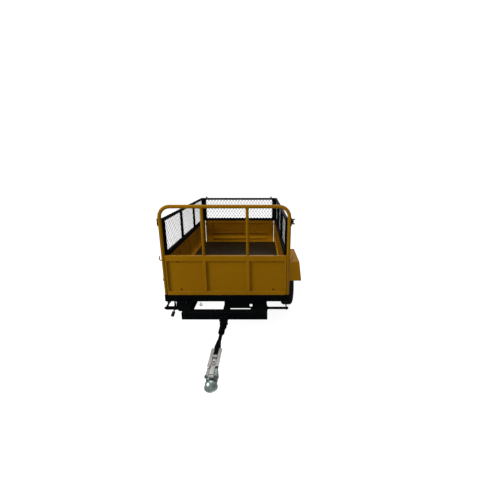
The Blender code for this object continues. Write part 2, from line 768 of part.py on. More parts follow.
def handle_pivot():
    """The bolt that the handle turns on, with its dark hex nut on the right."""
    at, face = (HANDLE_Y, HANDLE_Z), HEAD_WIDTH / 2 + GAP
    made = bar("handle_pivot", (-face - 0.003, face + 0.012), at, BOLT, BLACK)
    head = bar("pivot_head", (-face - 0.0055, -face), at, 0.010, sides=12)
    nut = bar("pivot_nut", (face, face + 0.0105), at, 0.0115, sides=6)
    return add(made, head, nut)


def coupling_handle():
    """The locking handle, lying in the trough's mouth, with a pocket for the safety catch."""
    half, arm = 0.0160, 0.0140
    rear = TROUGH_REAR - TONGUE_LENGTH - 0.012
    low, top = SWIVEL_Z + 0.002, SWIVEL_Z + 0.012
    at, front = (HANDLE_Y, HANDLE_Z), catch_front()
    made = bar("coupling_handle", (-half, half), at, 0.011, ZINC)
    add(
        made,
        box("handle_arm", (-arm, HANDLE_Y + 0.002, low), (arm, rear, top)),
        box("handle_grip", (-arm, rear - 0.024, low), (arm, rear, top + 0.008)),
    )
    cut(
        made,
        bar("handle_bore", (-0.03, 0.03), at, BOLT + BORE_GAP),
        box("catch_pocket", (-0.0065, front - GAP, low + 0.004), (0.0065, front + 0.033, top + 0.01)),
    )
    return made


def catch_front():
    return HANDLE_Y + 0.080


def safety_catch():
    low = SWIVEL_Z + 0.002 + 0.004 + GAP
    start = catch_front()
    made = box("safety_catch", (-0.0062, start, low), (0.0062, start + 0.024, low + 0.0045), PLASTIC)
    return add(made, box("catch_thumb", (-0.0062, start, low + 0.003), (0.0062, start + 0.012, low + 0.010)))


def ball_jaw():
    """The jaw that closes behind the ball. Its front follows the ball."""
    low = (-0.012, BALL_Y + 0.012, BALL_Z - 0.012)
    made = box("ball_jaw", low, (0.012, BALL_Y + 0.044, BALL_Z + 0.0075), STEEL)
    face = socket_profile(0.02, 0.0006)
    return cut(made, turned("jaw_face", face, (0, BALL_Y, BALL_Z), (0, 0, 1), steps=24))


def catch_outline():
    """The catch lever's side view as it holds the body, about the bar: arm, nose and the handle's root."""
    arm = [(0.0335, 0.0), (0.0335, 0.0465), (0.050, 0.0465), (0.050, 0.058), (0.020, 0.058)]
    lean = CATCH_SWING - CATCH_SLOPE
    tail = spun([(-0.012, 0.007), (-0.045, 0.007), (-0.045, -0.007), (-0.012, -0.007)], -lean)
    return arm + tail + [(0.0, -0.014), (0.014, -0.012)]


def body_catch():
    """The hand catch on the left outrigger. It stands released, turned away from its keeper."""
    at = (OUTRIGGER_Y, OUTRIGGER_Z)
    made = bar("body_catch", (CATCH_X - CATCH_HUB, CATCH_X + CATCH_HUB), at, 0.018, BLACK)
    place = Matrix.Translation((CATCH_X, *at)) @ ACROSS
    add(made, plate("catch_plate", spun(catch_outline(), CATCH_SWING), 0.006, place))
    start, end = catch_handle(0.035), catch_handle(GRIP_END - 0.006)
    add(made, rod("catch_rod", start, end, 0.006, sides=12))
    return cut(made, bar("catch_bore", (CATCH_X - 0.02, CATCH_X + 0.02), at, OUTRIGGER_BAR + BORE_GAP))


def catch_handle(distance):
    """The point at this distance along the catch's handle, forwards and down from the bar."""
    slope = math.radians(CATCH_SLOPE)
    return (CATCH_X, OUTRIGGER_Y - distance * math.cos(slope), OUTRIGGER_Z - distance * math.sin(slope))


def catch_grip():
    made = rod("catch_grip", catch_handle(0.048), catch_handle(GRIP_END), 0.0135, PLASTIC)
    end = catch_handle(GRIP_END - 0.006 + GAP)
    return cut(made, rod("grip_bore", catch_handle(0.040), end, 0.006 + BORE_GAP, sides=12))


def tyre(name, side):
    """A hollow tyre, open to the rim."""
    r, w, rim = WHEEL_RADIUS, TYRE_WIDTH / 2, RIM_RADIUS + GAP
    mid = (r + rim) / 2 + 0.012
    bead = w - 0.0145
    outer = [(rim, bead), (rim + 0.020, w - 0.007), (mid, w), (r - 0.007, w - 0.011), (r, w - 0.024)]
    inner = [(r - 0.012, w - 0.028), (mid, w - TYRE_SKIN), (rim, bead - TYRE_SKIN)]
    profile = outer + mirrored(outer) + inner_loop(inner)
    centre = (side * WHEEL_X, AXLE_Y, WHEEL_RADIUS)
    return turned(f"tyre_{name}", profile, centre, (side, 0, 0), TYRE, steps=24, ring=True)


def mirrored(rows):
    return [(radius, -along) for radius, along in reversed(rows)]


def inner_loop(rows):
    """The tyre's inside, from its inner bead up and round to its outer bead."""
    return [(radius, -along) for radius, along in reversed(rows)] + list(rows)


def rim(name, side):
    """A steel rim: barrel with two flanges and a dished disc, and the wheel nuts on it."""
    r, w = RIM_RADIUS, TYRE_WIDTH / 2
    wall = 0.0035
    seat = w - 0.0140
    flange = [(r + 0.0135, w - 0.0045), (r + 0.0135, w - 0.0085), (r, seat)]
    disc = [(HUB_BOSS + 0.001, 0.0160), (HUB_BOSS + 0.001, 0.0200), (0.080, 0.0200), (r - wall, 0.006)]
    back = [(r - wall, 0.002), (0.078, 0.0160)]
    inside = [(r - wall, -seat - 0.003), *back, *disc, (r - wall, seat + 0.003)]
    profile = flange + mirrored(flange) + inside
    centre = (side * WHEEL_X, AXLE_Y, WHEEL_RADIUS)
    made = turned(f"rim_{name}", profile, centre, (side, 0, 0), STEEL, ring=True)
    for i in range(WHEEL_NUTS):
        angle = 2 * math.pi * (i + 0.5) / WHEEL_NUTS
        y, z = AXLE_Y + NUT_CIRCLE * math.cos(angle), WHEEL_RADIUS + NUT_CIRCLE * math.sin(angle)
        ends = (side * (WHEEL_X + 0.018), side * (WHEEL_X + 0.032))
        add(made, bar(f"wheel_nut_{name}_{i}", ends, (y, z), 0.0105, sides=6))
    return made


def hub(name, side):
    """The turned hub with a blind bore for the stub axle and the flange that the rim is bolted to."""
    bore = STUB + BORE_GAP
    profile = [
        (0.0, 0.0300),
        (HUB_BOSS, 0.0300),
        (HUB_BOSS, 0.0157),
        (HUB_FLANGE, 0.0157),
        (HUB_FLANGE, 0.0060),
        (HUB_BOSS + 0.004, 0.0060),
        (HUB_BOSS + 0.004, -0.0450),
        (bore, -0.0450),
        (bore, 0.0220),
        (0.0, 0.0220),
    ]
    centre = (side * WHEEL_X, AXLE_Y, WHEEL_RADIUS)
    return turned(f"hub_{name}", profile, centre, (side, 0, 0), BLACK, steps=24)


def hub_cap(name, side):
    profile = [(0.0, 0.0500), (0.018, 0.0485), (0.028, 0.0420), (0.030, 0.0303), (0.0, 0.0303)]
    centre = (side * WHEEL_X, AXLE_Y, WHEEL_RADIUS)
    return turned(f"hub_cap_{name}", profile, centre, (side, 0, 0), PLASTIC, steps=16)


def subframe():
    """The body's welded sub-frame: front and rear members, two bearers and two long members."""
    half, rear = LOOP_X, FRONT_Y + BEAM_DEPTH
    made = box("body_subframe", (-half, FRONT_Y, SUB_BOTTOM), (half, rear, SUB_TOP), BLACK)
    core = half - FRONT_SOLID_END
    cut(made, hollow("front_hollow", (-core, FRONT_Y, SUB_BOTTOM), (core, rear, SUB_TOP)))
    for name, side in SIDES.items():
        add(made, long_member(name, side), pivot_ear(name, side))
    for i, y in enumerate(bearer_places()):
        low = (-SIDE_X, y, SUB_TOP - BEARER_HEIGHT)
        bearer = box(f"bearer_{i}", low, (SIDE_X, y + BEARER_WIDTH, SUB_TOP))
        cut(bearer, hollow(f"bearer_hollow_{i}", (-INNER_X, y, low[2]), (INNER_X, y + BEARER_WIDTH, SUB_TOP)))
        add(made, bearer)
    start = TAIL_Y - BEAM_DEPTH
    beam = box("rear_beam", (-SIDE_X, start, SUB_BOTTOM), (SIDE_X, TAIL_Y, SUB_TOP))
    cut(beam, hollow("rear_hollow", (-INNER_X, start, SUB_BOTTOM), (INNER_X, TAIL_Y, SUB_TOP)))
    add(made, beam, *hinge_lugs())
    return cut(made, *(pivot_bore(f"ear_bore_{name}", side) for name, side in SIDES.items()))


def hollow(name, low, high):
    """The space inside a member of folded sheet that is open downwards."""
    wall = SUBFRAME_WALL
    return box(name, (low[0], low[1] + wall, low[2] - 0.01), (high[0], high[1] - wall, high[2] - wall))


def bearer_places():
    return [FRONT_Y + BODY_LENGTH * 0.32, FRONT_Y + BODY_LENGTH * 0.66]


def long_member(name, side):
    """A member over the rail, open downwards, and solid where the pivot ear joins it."""
    low = (side * RAIL_INNER, FRONT_Y + 0.01, SUB_BOTTOM)
    made = box(f"long_member_{name}", low, (side * RAIL_OUTER, TAIL_Y - 0.01, SUB_TOP))
    near, far = side * (RAIL_INNER + SUBFRAME_WALL), side * (RAIL_OUTER - SUBFRAME_WALL)
    low, high = SUB_BOTTOM - 0.01, SUB_TOP - SUBFRAME_WALL
    front, rear = (FRONT_Y + BEAM_DEPTH, PIVOT_Y - 0.05), (PIVOT_Y + 0.05, TAIL_Y - BEAM_DEPTH)
    for end, (start, stop) in (("front", front), ("rear", rear)):
        cut(made, box(f"long_hollow_{name}_{end}", (near, start, low), (far, stop, high)))
    return made


def pivot_ear(name, side):
    """The ear outside the rail that turns on the pivot pin, with the block that joins it to the member."""
    inner, top, half = RAIL_OUTER + 2 * GAP, SUB_TOP - 0.015, PIVOT_EAR
    outline = [(PIVOT_Y + half, top), (PIVOT_Y - half, top)]
    for i in range(9):
        angle = math.pi * (1 + i / 8)
        outline.append((PIVOT_Y + half * math.cos(angle), PIVOT_Z + half * math.sin(angle)))
    middle = Matrix.Translation((side * (inner + EAR_THICKNESS / 2), 0, 0)) @ ACROSS
    ear = plate(f"ear_{name}", outline, EAR_THICKNESS, middle)
    low = (side * (RAIL_OUTER - 0.006), PIVOT_Y - half + 0.002, SUB_BOTTOM + 0.004)
    high = (side * (inner + EAR_THICKNESS / 2), PIVOT_Y + half - 0.002, top - 0.001)
    return add(ear, box(f"ear_joint_{name}", low, high))


def pivot_bore(name, side):
    reach = [side * x for x in (RAIL_OUTER - 0.002, RAIL_OUTER + 0.03)]
    return bar(name, reach, (PIVOT_Y, PIVOT_Z), PIVOT_PIN + BORE_GAP)


def keeper():
    """The lug on the sub-frame's face that the catch's nose holds down."""
    low = (CATCH_X - 0.008, FRONT_Y - KEEPER_REACH, SUB_BOTTOM + 0.005)
    return box("catch_keeper", low, (CATCH_X + 0.008, FRONT_Y - GAP, KEEPER_TOP), BLACK)


def eye_ring():
    """The eye that hangs under the front member, with its stalk."""
    x, y, z = -0.227, FRONT_Y + 0.002, SUB_BOTTOM - 0.033
    ring = wire("eye_ring", [(x + a, y, z + b) for a, b in circle((0, 0), 0.0095, 12)], 0.003, BLACK, True, 1)
    return add(ring, rod("eye_stalk", (x, y, z + 0.0095), (x, y, SUB_BOTTOM - GAP), 0.0015, sides=8))


def hinge_lugs():
    """The four lugs on the rear member that hold the tailgate's pins."""
    low, seat = -0.035, SUB_TOP - HINGE_Z - 0.001
    outline = [(-0.0125, low), (0.006, low), *hinge_arc(0, 180), (-HINGE_RADIUS, seat), (-0.0125, seat)]
    made = []
    for name, side in SIDES.items():
        for end, sign in (("inner", -1), ("outer", 1)):
            centre = HINGE_X + sign * (KNUCKLE / 2 + GAP + LUG / 2)
            made.append(hinge_plate(f"lug_{name}_{end}", outline, LUG, side * centre))
    return made


def hinge_arc(start, stop, steps=8):
    """Part of the hinge eye's outline, in degrees from the rear and upwards."""
    angles = [math.radians(start + (stop - start) * i / steps) for i in range(steps + 1)]
    return [(HINGE_RADIUS * math.cos(a), HINGE_RADIUS * math.sin(a)) for a in angles]


def hinge_plate(name, outline, width, x):
    hole = circle((0, 0), HINGE_PIN + BORE_GAP, 12)
    return plate(name, outline, width, Matrix.Translation((x, HINGE_Y, HINGE_Z)) @ ACROSS, holes=[hole])


def floor_plate():
    """The floor between the boards: a tray of folded sheet whose edges and webs stand on the sub-frame."""
    reach, start, stop = INNER_X - GAP, INNER_Y, TAIL_Y - TAILGATE_THICKNESS - 0.002
    made = box("floor_plate", (-reach, start, FLOOR_BOTTOM), (reach, stop, FLOOR_TOP), BLACK)
    web = (RAIL_INNER + RAIL_OUTER) / 2
    edge, half = reach - FLOOR_EDGE, FLOOR_EDGE
    low, high = FLOOR_BOTTOM - 0.01, FLOOR_TOP - FLOOR_THICKNESS
    for i, (left, right) in enumerate(((-edge, -web - half), (-web + half, web - half), (web + half, edge))):
        cut(made, box(f"tray_{i}", (left, start + FLOOR_EDGE, low), (right, stop - FLOOR_EDGE, high)))
    return made


def headboard():
    """The headboard: a frame with two ribs, and a thin panel set back in its three bays."""
    reach = LEG_X - LOOP_TUBE - GAP
    low, high = SUB_TOP + GAP, BOARD_TOP
    made = box("headboard", (-reach, FRONT_Y, low), (reach, FRONT_Y + HEADBOARD_THICKNESS, high), AMBER)
    rib = HEADBOARD_RIB / 2
    end = reach - HEADBOARD_STILE
    edges = [(-end, -POST_X - rib), (-POST_X + rib, POST_X - rib), (POST_X + rib, end)]
    back = HEADBOARD_THICKNESS - HEADBOARD_RECESS - PANEL_SKIN
    for i, (start, stop) in enumerate(edges):
        foot, head = low + HEADBOARD_FOOT_RAIL, high - HEADBOARD_TOP_RAIL
        cut(
            made,
            box(f"front_bay_{i}", (start, FRONT_Y - 0.01, foot), (stop, FRONT_Y + HEADBOARD_RECESS, head)),
            box(f"back_bay_{i}", (start, INNER_Y - back, foot), (stop, INNER_Y + 0.01, head)),
        )
    return made


def loop_guard():
    """The bent tube over the headboard with its two posts, and a rope hook low on each leg."""
    top, foot = LOOP_TOP - LOOP_TUBE, SUB_TOP + GAP
    corners = [(-LEG_X, LEG_Y, foot), (-LEG_X, LEG_Y, top), (LEG_X, LEG_Y, top), (LEG_X, LEG_Y, foot)]
    made = wire("loop_guard", rounded(corners, LOOP_CORNER - LOOP_TUBE, 5), LOOP_TUBE, AMBER, fineness=4)
    for name, side in SIDES.items():
        x = side * POST_X
        ends = [(x, LEG_Y, BOARD_TOP + GAP), (x, LEG_Y, top)]
        add(made, rod(f"loop_post_{name}", *ends, LOOP_POST_TUBE, sides=12))
        path = [(0.010, -HOOK_DROP), (HOOK_REACH, -HOOK_DROP), (HOOK_REACH, -0.003)]
        hook = [(side * (LEG_X + out), LEG_Y, BOARD_TOP + up) for out, up in path]
        add(made, wire(f"rope_hook_{name}", rounded(hook, 0.011, 3), 0.005, fineness=1))
    return made


def side_board(name, side):
    """A fixed side: rails and posts outside, a thin skin set back inside, and the stud for the latch."""
    start, stop = INNER_Y, TAIL_Y - GAP
    low = (side * INNER_X, start, BOARD_FOOT)
    made = box(f"side_board_{name}", low, (side * SIDE_X, stop, BOARD_TOP), AMBER)
    pitch = (stop - BOARD_END_POST - start) / BOARD_BAYS
    skin, outside = INNER_X + BOARD_PRESSING, SIDE_X + 0.01
    for i in range(BOARD_BAYS):
        near = start + BOARD_POST + i * pitch
        far, foot, head = near + pitch - BOARD_POST, FLOOR_TOP + 0.030, BOARD_TOP - 0.046
        low = (side * (skin + BOARD_SKIN), near, BOARD_FOOT + BOARD_RAIL)
        cut(
            made,
            box(f"side_bay_{name}_{i}", low, (side * outside, far, BOARD_TOP - BOARD_RAIL)),
            box(f"side_pressing_{name}_{i}", (side * (INNER_X - 0.01), near, foot), (side * skin, far, head)),
        )
    stud = [side * x for x in (SIDE_X - 0.004, SIDE_X + LATCH_PLATE + 0.004)]
    at = (TAIL_Y - LATCH_SETBACK, LATCH_Z)
    return add(made, gate_post(name, side), bar(f"latch_stud_{name}", stud, at, STUD))


def gate_post(name, side):
    """The post inside the board's rear end, which narrows the opening that the tailgate fills."""
    low = (side * (INNER_X - GATE_POST), TAIL_Y - TAILGATE_THICKNESS - 0.0015, BOARD_FOOT + 0.0005)
    high = (side * (INNER_X + 0.004), TAIL_Y - GAP - 0.0005, BOARD_TOP - 0.0005)
    return box(f"gate_post_{name}", low, high)


def mudguard(name, side):
    """Folded sheet in three facets over the wheel."""
    flat, reach = GUARD_FLAT / 2, GUARD_LENGTH / 2
    path = [(-reach, GUARD_FOOT), (-flat, GUARD_TOP), (flat, GUARD_TOP), (reach, GUARD_FOOT)]
    outer = [(AXLE_Y + y, z) for y, z in path]
    start = SIDE_X + GAP
    middle = Matrix.Translation((side * (start + GUARD_OUTER) / 2, 0, 0)) @ ACROSS
    return plate(f"mudguard_{name}", strip(outer, GUARD_SHEET), GUARD_OUTER - start, middle, AMBER)


def side_mesh(name, side):
    """The frame of square tube on the side board, with the tab that takes the rear mesh's drop pin."""
    start, stop, tube = INNER_Y, TAIL_Y - GAP, MESH_TUBE
    outer = side * (INNER_X + tube)
    made = box(f"side_mesh_{name}", (side * INNER_X, start, MESH_FOOT), (outer, stop, MESH_TOP), BLACK)
    pitch = (stop - start - tube) / MESH_BAYS
    for i in range(MESH_BAYS):
        near = start + i * pitch
        low = (side * (INNER_X - 0.01), near + tube, MESH_FOOT + tube)
        cut(made, box(f"mesh_window_{name}_{i}", low, (outer + side * 0.01, near + pitch, MESH_TOP - tube)))
    end, face, root = stop - TAILGATE_THICKNESS - 0.004, INNER_X - GAP, side * (INNER_X + 0.004)
    inside, top = side * (face - MESH_STRAP), MESH_FOOT + 0.006
    x, y, z = side * PIN_X, TAIL_Y - PIN_SETBACK, tab_top()
    add(
        made,
        box(f"mesh_strap_{name}", (inside, start, BOARD_TOP - MESH_STRAP_DROP), (side * face, end, top)),
        box(f"strap_root_{name}", (inside, start, MESH_FOOT), (root, end, top)),
        box(f"pin_tab_{name}", (side * (PIN_X - 0.014), y - 0.014, z - PIN_TAB), (root, y + 0.014, z)),
    )
    ends = [(x, y, z - 0.02), (x, y, z + 0.02)]
    return cut(made, rod(f"tab_bore_{name}", *ends, PIN_RADIUS + 0.0007, sides=12))


def tab_top():
    return MESH_TOP - 0.016


def net(name, outline_low, outline_high, place):
    """A flat lattice of diamond gaps in a solid border, with every second row set over by half a pitch."""
    border = 0.008
    low = (outline_low[0] + border, outline_low[1] + border)
    high = (outline_high[0] - border, outline_high[1] - border)
    across = max(1, round((high[0] - low[0]) / NET_PITCH))
    up = max(1, round((high[1] - low[1]) / NET_ROW))
    pitch, row = (high[0] - low[0]) / across, (high[1] - low[1]) / up
    slack = NET_STRAND * math.hypot(pitch, row) / 2
    half = (pitch / 2 - slack / row, row / 2 - slack / pitch)
    gaps = []
    for j in range(2 * up + 1):
        for i in range(across + 1 - j % 2):
            centre = (low[0] + (i + j % 2 / 2) * pitch, low[1] + j * row / 2)
            gap = clipped(diamond(centre, half), low, high)
            if len(gap) > 2:
                gaps.append(gap)
    return plate(name, rectangle(outline_low, outline_high), NET_THICKNESS, place, WIRE, gaps)


def diamond(centre, half):
    x, y = centre
    return [(x - half[0], y), (x, y - half[1]), (x + half[0], y), (x, y + half[1])]


def clipped(points, low, high):
    """The part of a convex outline inside an upright rectangle."""
    for axis, limit, sign in ((0, low[0], 1), (0, high[0], -1), (1, low[1], 1), (1, high[1], -1)):
        kept = []
        for a, b in zip(points, points[1:] + points[:1]):
            inside_a, inside_b = sign * (a[axis] - limit) >= -1e-9, sign * (b[axis] - limit) >= -1e-9
            if inside_a:
                kept.append(a)
            if inside_a != inside_b:
                share = (limit - a[axis]) / (b[axis] - a[axis])
                kept.append((a[0] + share * (b[0] - a[0]), a[1] + share * (b[1] - a[1])))
        points = [p for i, p in enumerate(kept) if math.dist(p, kept[i - 1]) > 1e-6]
    return points


def side_net(name, side):
    x = side * (INNER_X + MESH_TUBE + GAP + NET_THICKNESS / 2)
    low, high = (INNER_Y + 0.006, MESH_FOOT + 0.008), (TAIL_Y - 0.006, MESH_TOP - 0.008)
    return net(f"side_net_{name}", low, high, Matrix.Translation((x, 0, 0)) @ ACROSS)


def loop_clamp(name, side):
    """The strap that ties the side mesh's front post to the loop's leg, with its block and two bolts."""
    foot, head = MESH_TOP - 0.060, MESH_TOP + 0.002
    outer, rear = LOOP_X + GAP, INNER_Y + 0.024
    face, net_face = outer + 0.004, INNER_X + MESH_TUBE + NET_THICKNESS + 2 * GAP
    made = box(f"loop_clamp_{name}", (side * outer, FRONT_Y + 0.003, foot), (side * face, rear, head), BLACK)
    middle, reach = (foot + head) / 2, CLAMP_BOLT_RIGHT if side > 0 else CLAMP_BOLT_LEFT
    low = (side * (face - 0.002), INNER_Y + 0.004, middle - 0.012)
    high = (side * (outer + reach - 0.012), rear - 0.002, middle + 0.012)
    add(
        made,
        box(f"clamp_spacer_{name}", (side * net_face, INNER_Y + 0.002, foot), (side * face, rear, head)),
        box(f"clamp_block_{name}", low, high),
    )
    for i, z in enumerate((foot + 0.012, head - 0.012)):
        ends = [side * (face - 0.002), side * (outer + reach)]
        add(made, bar(f"clamp_bolt_{name}_{i}", ends, (INNER_Y + 0.013, z), 0.005, sides=12))
    return made


def tailgate():
    """The tailgate: wide stiles, pressed panels inside and out, knuckles below and strikers at its top."""
    front, foot = TAIL_Y - TAILGATE_THICKNESS, BOARD_FOOT
    made = box("tailgate", (GATE_LEFT, front, foot), (GATE_RIGHT, TAIL_Y, BOARD_TOP), AMBER)
    left, right = GATE_LEFT + TAILGATE_STILE, GATE_RIGHT - TAILGATE_STILE
    rib, depth = foot + 0.179, front + PANEL_DEPTH
    for i, (low, high) in enumerate(((foot + 0.070, rib - 0.009), (rib + 0.009, BOARD_TOP - 0.033))):
        cut(
            made,
            box(f"gate_inside_{i}", (left, front - 0.01, low), (right, depth, high)),
            box(f"gate_outside_{i}", (left, TAIL_Y - 0.014, low), (right, TAIL_Y + 0.01, high)),
        )
    low, root, nose = foot + SWAGE_RISE, depth + 0.001, front - SWAGE_DEPTH
    outline = [(root, low), (nose, low + 0.006), (root, low + SWAGE_HEIGHT)]
    middle = Matrix.Translation(((left + right) / 2, 0, 0)) @ ACROSS
    add(made, plate("swage", outline, right - left - 0.004, middle))
    for name, side in SIDES.items():
        add(made, knuckle(name, side), *striker(name, side))
    return made


def knuckle(name, side):
    """The eye under the tailgate that takes the hinge pin, with the leaf that is welded to its face."""
    outline = [*hinge_arc(180, 360), (0.005, 0.040), (-0.0135, 0.040), (-0.0135, 0.001)]
    return hinge_plate(f"knuckle_{name}", outline, KNUCKLE, side * HINGE_X)


def striker(name, side):
    """The bar that stands behind the side board's end and takes the latch."""
    start, top = side * STRIKER_START, LATCH_Z - 0.001
    edge = (GATE_RIGHT if side > 0 else GATE_LEFT) - side * 0.005
    low, face = top - STRIKER, TAIL_Y + 0.002
    bar_ends = [(start, face, low), (side * (SIDE_X + 0.012), face + STRIKER, top)]
    root = box(f"striker_root_{name}", (start, TAIL_Y - 0.004, low), (edge, face + 0.002, top))
    return box(f"striker_{name}", *bar_ends), root


def tailgate_pin(name, side):
    reach = KNUCKLE / 2 + LUG + 0.003
    ends = [side * (HINGE_X + x) for x in (-reach, reach)]
    return bar(f"tailgate_pin_{name}", ends, (HINGE_Y, HINGE_Z), HINGE_PIN, STEEL, sides=12)


def latch_outline():
    """The tailgate latch when it holds, about its stud: a bar to the rear with a notch for the striker."""
    near, far = LATCH_SETBACK - 0.0005, LATCH_SETBACK + 0.0165
    angles = [math.radians(90 + 20 * i) for i in range(10)]
    hub_round = [(LATCH_HUB * math.cos(a), LATCH_HUB * math.sin(a)) for a in angles]
    end = far + 0.0095
    notch = [(near, -0.012), (near, 0.0), (far, 0.0), (far, -0.014)]
    return [*hub_round, *notch, (end, -0.014), (end, LATCH_HUB)]


def tailgate_latch(name, side):
    """A latch on the side board's stud. It stands open, leaning forwards past upright."""
    y = TAIL_Y - LATCH_SETBACK
    x = side * (SIDE_X + 2 * GAP + LATCH_PLATE / 2)
    hole = circle((0, 0), STUD + BORE_GAP, 16)
    place = Matrix.Translation((x, y, LATCH_Z)) @ ACROSS
    outline = spun(latch_outline(), LATCH_SWING)
    return plate(f"tailgate_latch_{name}", outline, LATCH_PLATE, place, STEEL, [hole])


def rear_mesh():
    """The frame on the tailgate, with a guide for each drop pin on its top rail."""
    reach, front = INNER_X - 2 * GAP, TAIL_Y - MESH_TUBE
    made = box("rear_mesh", (-reach, front, MESH_FOOT), (reach, TAIL_Y, MESH_TOP), BLACK)
    inner = reach - REAR_STILE
    low = (-inner, front - 0.01, MESH_FOOT + REAR_FOOT_RAIL)
    cut(made, box("rear_window", low, (inner, TAIL_Y + 0.01, MESH_TOP - REAR_TOP_RAIL)))
    y = TAIL_Y - PIN_SETBACK
    for name, side in SIDES.items():
        x = side * PIN_X
        low = (x - 0.012, y - 0.012, tab_top() + 0.0005)
        add(made, box(f"pin_guide_{name}", low, (x + 0.012, front + 0.003, MESH_TOP - 0.001)))
        ends = [(x, y, MESH_TOP - 0.05), (x, y, MESH_TOP + 0.02)]
        cut(made, rod(f"guide_bore_{name}", *ends, PIN_RADIUS + BORE_GAP, sides=12))
    return made


def rear_net():
    y = TAIL_Y + GAP + NET_THICKNESS / 2
    reach = INNER_X - REAR_STILE * 0.4
    low, high = (-reach, MESH_FOOT + 0.008), (reach, MESH_TOP - 0.008)
    return net("rear_net", low, high, Matrix.Translation((0, y, 0)) @ FACING)


def drop_pin(name, side):
    """The pin that ties the rear mesh to the side mesh. It stands lifted, clear of the tab."""
    x, y = side * PIN_X, TAIL_Y - PIN_SETBACK
    knob = MESH_TOP + PIN_TRAVEL + 0.0060
    made = rod(f"drop_pin_{name}", (x, y, tab_top() + 0.001), (x, y, knob), PIN_RADIUS, STEEL)
    rows = [(0.0, 0.007), (0.010, 0.006), (0.015, 0.002), (0.015, -0.002), (0.009, -0.0055), (0.0, -0.0055)]
    return add(made, turned(f"pin_knob_{name}", rows, (x, y, knob), (0, 0, 1), steps=16))


def build():
    """Makes every piece and parents the moving ones to their joints."""
    chassis_frame()
    hole_plate()
    corner_plate()
    drawbar_tube()
    swivel_housing()
    axle()
    body = joint("body_tip", (0, PIVOT_Y, PIVOT_Z))
    swivel = joint("coupling_swivel", (0, HOUSING_FRONT, SWIVEL_Z))
    for name, side in SIDES.items():
        axle_bracket(name, side)
        outrigger(name, side)
        rest_pad(name, side)
        pivot_pin(name, side)
        wheel = joint(f"wheel_spin_{name}", (side * WHEEL_X, AXLE_Y, WHEEL_RADIUS))
        carry(wheel, tyre(name, side), rim(name, side), hub(name, side), hub_cap(name, side))
    build_coupling(swivel)
    catch = joint("catch_turn", (CATCH_X, OUTRIGGER_Y, OUTRIGGER_Z))
    carry(catch, body_catch(), catch_grip())
    build_body(body)
    build_tailgate(body)


def build_coupling(swivel):
    bolts = [coupling_bolt(f"coupling_bolt_{i + 1}", y) for i, y in enumerate([*tongue_bolts(), tail_bolt()])]
    carry(swivel, swivel_shank(), shank_nut(), coupling_trough(), coupling_head(), handle_pivot(), *bolts)
    handle = joint("handle_lift", (0, HANDLE_Y, HANDLE_Z), swivel)
    carry(handle, coupling_handle())
    carry(joint("catch_slide", (0, catch_front(), SWIVEL_Z), handle), safety_catch())
    carry(joint("jaw_slide", (0, BALL_Y, BALL_Z), swivel), ball_jaw())


def build_body(body):
    carry(body, subframe(), keeper(), eye_ring(), floor_plate(), headboard(), loop_guard())
    for name, side in SIDES.items():
        pieces = [side_board(name, side), mudguard(name, side), side_mesh(name, side), side_net(name, side)]
        carry(body, *pieces, loop_clamp(name, side), tailgate_pin(name, side))
        latch = joint(f"latch_turn_{name}", (side * SIDE_X, TAIL_Y - LATCH_SETBACK, LATCH_Z), body)
        carry(latch, tailgate_latch(name, side))


def build_tailgate(body):
    gate = joint("tailgate_swing", (0, HINGE_Y, HINGE_Z), body)
    carry(gate, tailgate(), rear_mesh(), rear_net())
    for name, side in SIDES.items():
        pin = joint(f"pin_lift_{name}", (side * PIN_X, TAIL_Y - PIN_SETBACK, MESH_TOP), gate)
        carry(pin, drop_pin(name, side))


build()
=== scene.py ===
"""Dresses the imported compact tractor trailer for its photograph.

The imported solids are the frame. This script rounds their edges and paints them, and adds what the solids
leave out: the expanded mesh, the tyres' tread, panel bolts, valve stems, weld beads and the studio around it.
"""

from __future__ import annotations

import json
import logging
import math
from collections.abc import Sequence
from dataclasses import dataclass
from enum import Enum

import bmesh
import bpy
import numpy as np
from bpy.types import Material, Mesh, Node, NodeSocket, NodeTree, Object, Scene
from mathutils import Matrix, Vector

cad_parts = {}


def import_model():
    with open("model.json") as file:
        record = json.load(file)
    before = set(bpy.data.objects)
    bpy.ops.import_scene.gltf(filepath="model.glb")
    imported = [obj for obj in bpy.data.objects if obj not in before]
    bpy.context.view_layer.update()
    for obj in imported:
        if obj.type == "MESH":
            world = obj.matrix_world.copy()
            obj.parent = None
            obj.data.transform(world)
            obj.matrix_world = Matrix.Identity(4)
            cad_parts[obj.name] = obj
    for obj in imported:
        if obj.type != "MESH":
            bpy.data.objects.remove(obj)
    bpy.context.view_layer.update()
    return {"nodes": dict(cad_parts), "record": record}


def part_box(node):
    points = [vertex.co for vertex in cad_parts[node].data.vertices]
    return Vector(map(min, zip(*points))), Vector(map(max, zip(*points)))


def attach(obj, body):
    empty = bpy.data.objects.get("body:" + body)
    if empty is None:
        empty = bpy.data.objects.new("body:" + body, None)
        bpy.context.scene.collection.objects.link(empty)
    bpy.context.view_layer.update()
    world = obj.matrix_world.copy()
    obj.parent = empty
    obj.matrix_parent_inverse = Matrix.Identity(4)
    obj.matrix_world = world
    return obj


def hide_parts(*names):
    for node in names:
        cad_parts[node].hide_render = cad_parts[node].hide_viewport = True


LOG = logging.getLogger("trailer")

Vec = tuple[float, float, float]
Colour = tuple[float, float, float]
Array = np.ndarray
Pair = tuple[float, float]
Feed = NodeSocket | float | Colour

SIDES: dict[str, float] = {"left": -1.0, "right": 1.0}
TURN = 2.0 * math.pi

# An edge this sharp stays sharp, is rounded, or is so flat that its two faces become one.
SMOOTH_ANGLE = math.radians(34.0)
BEVEL_ANGLE = math.radians(40.0)
FLAT_ANGLE = math.radians(0.3)

# Points nearer than this, in metres, are one: in a shape made here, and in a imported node.
SEAM = 1e-6
PACKED_SEAM = 2e-5

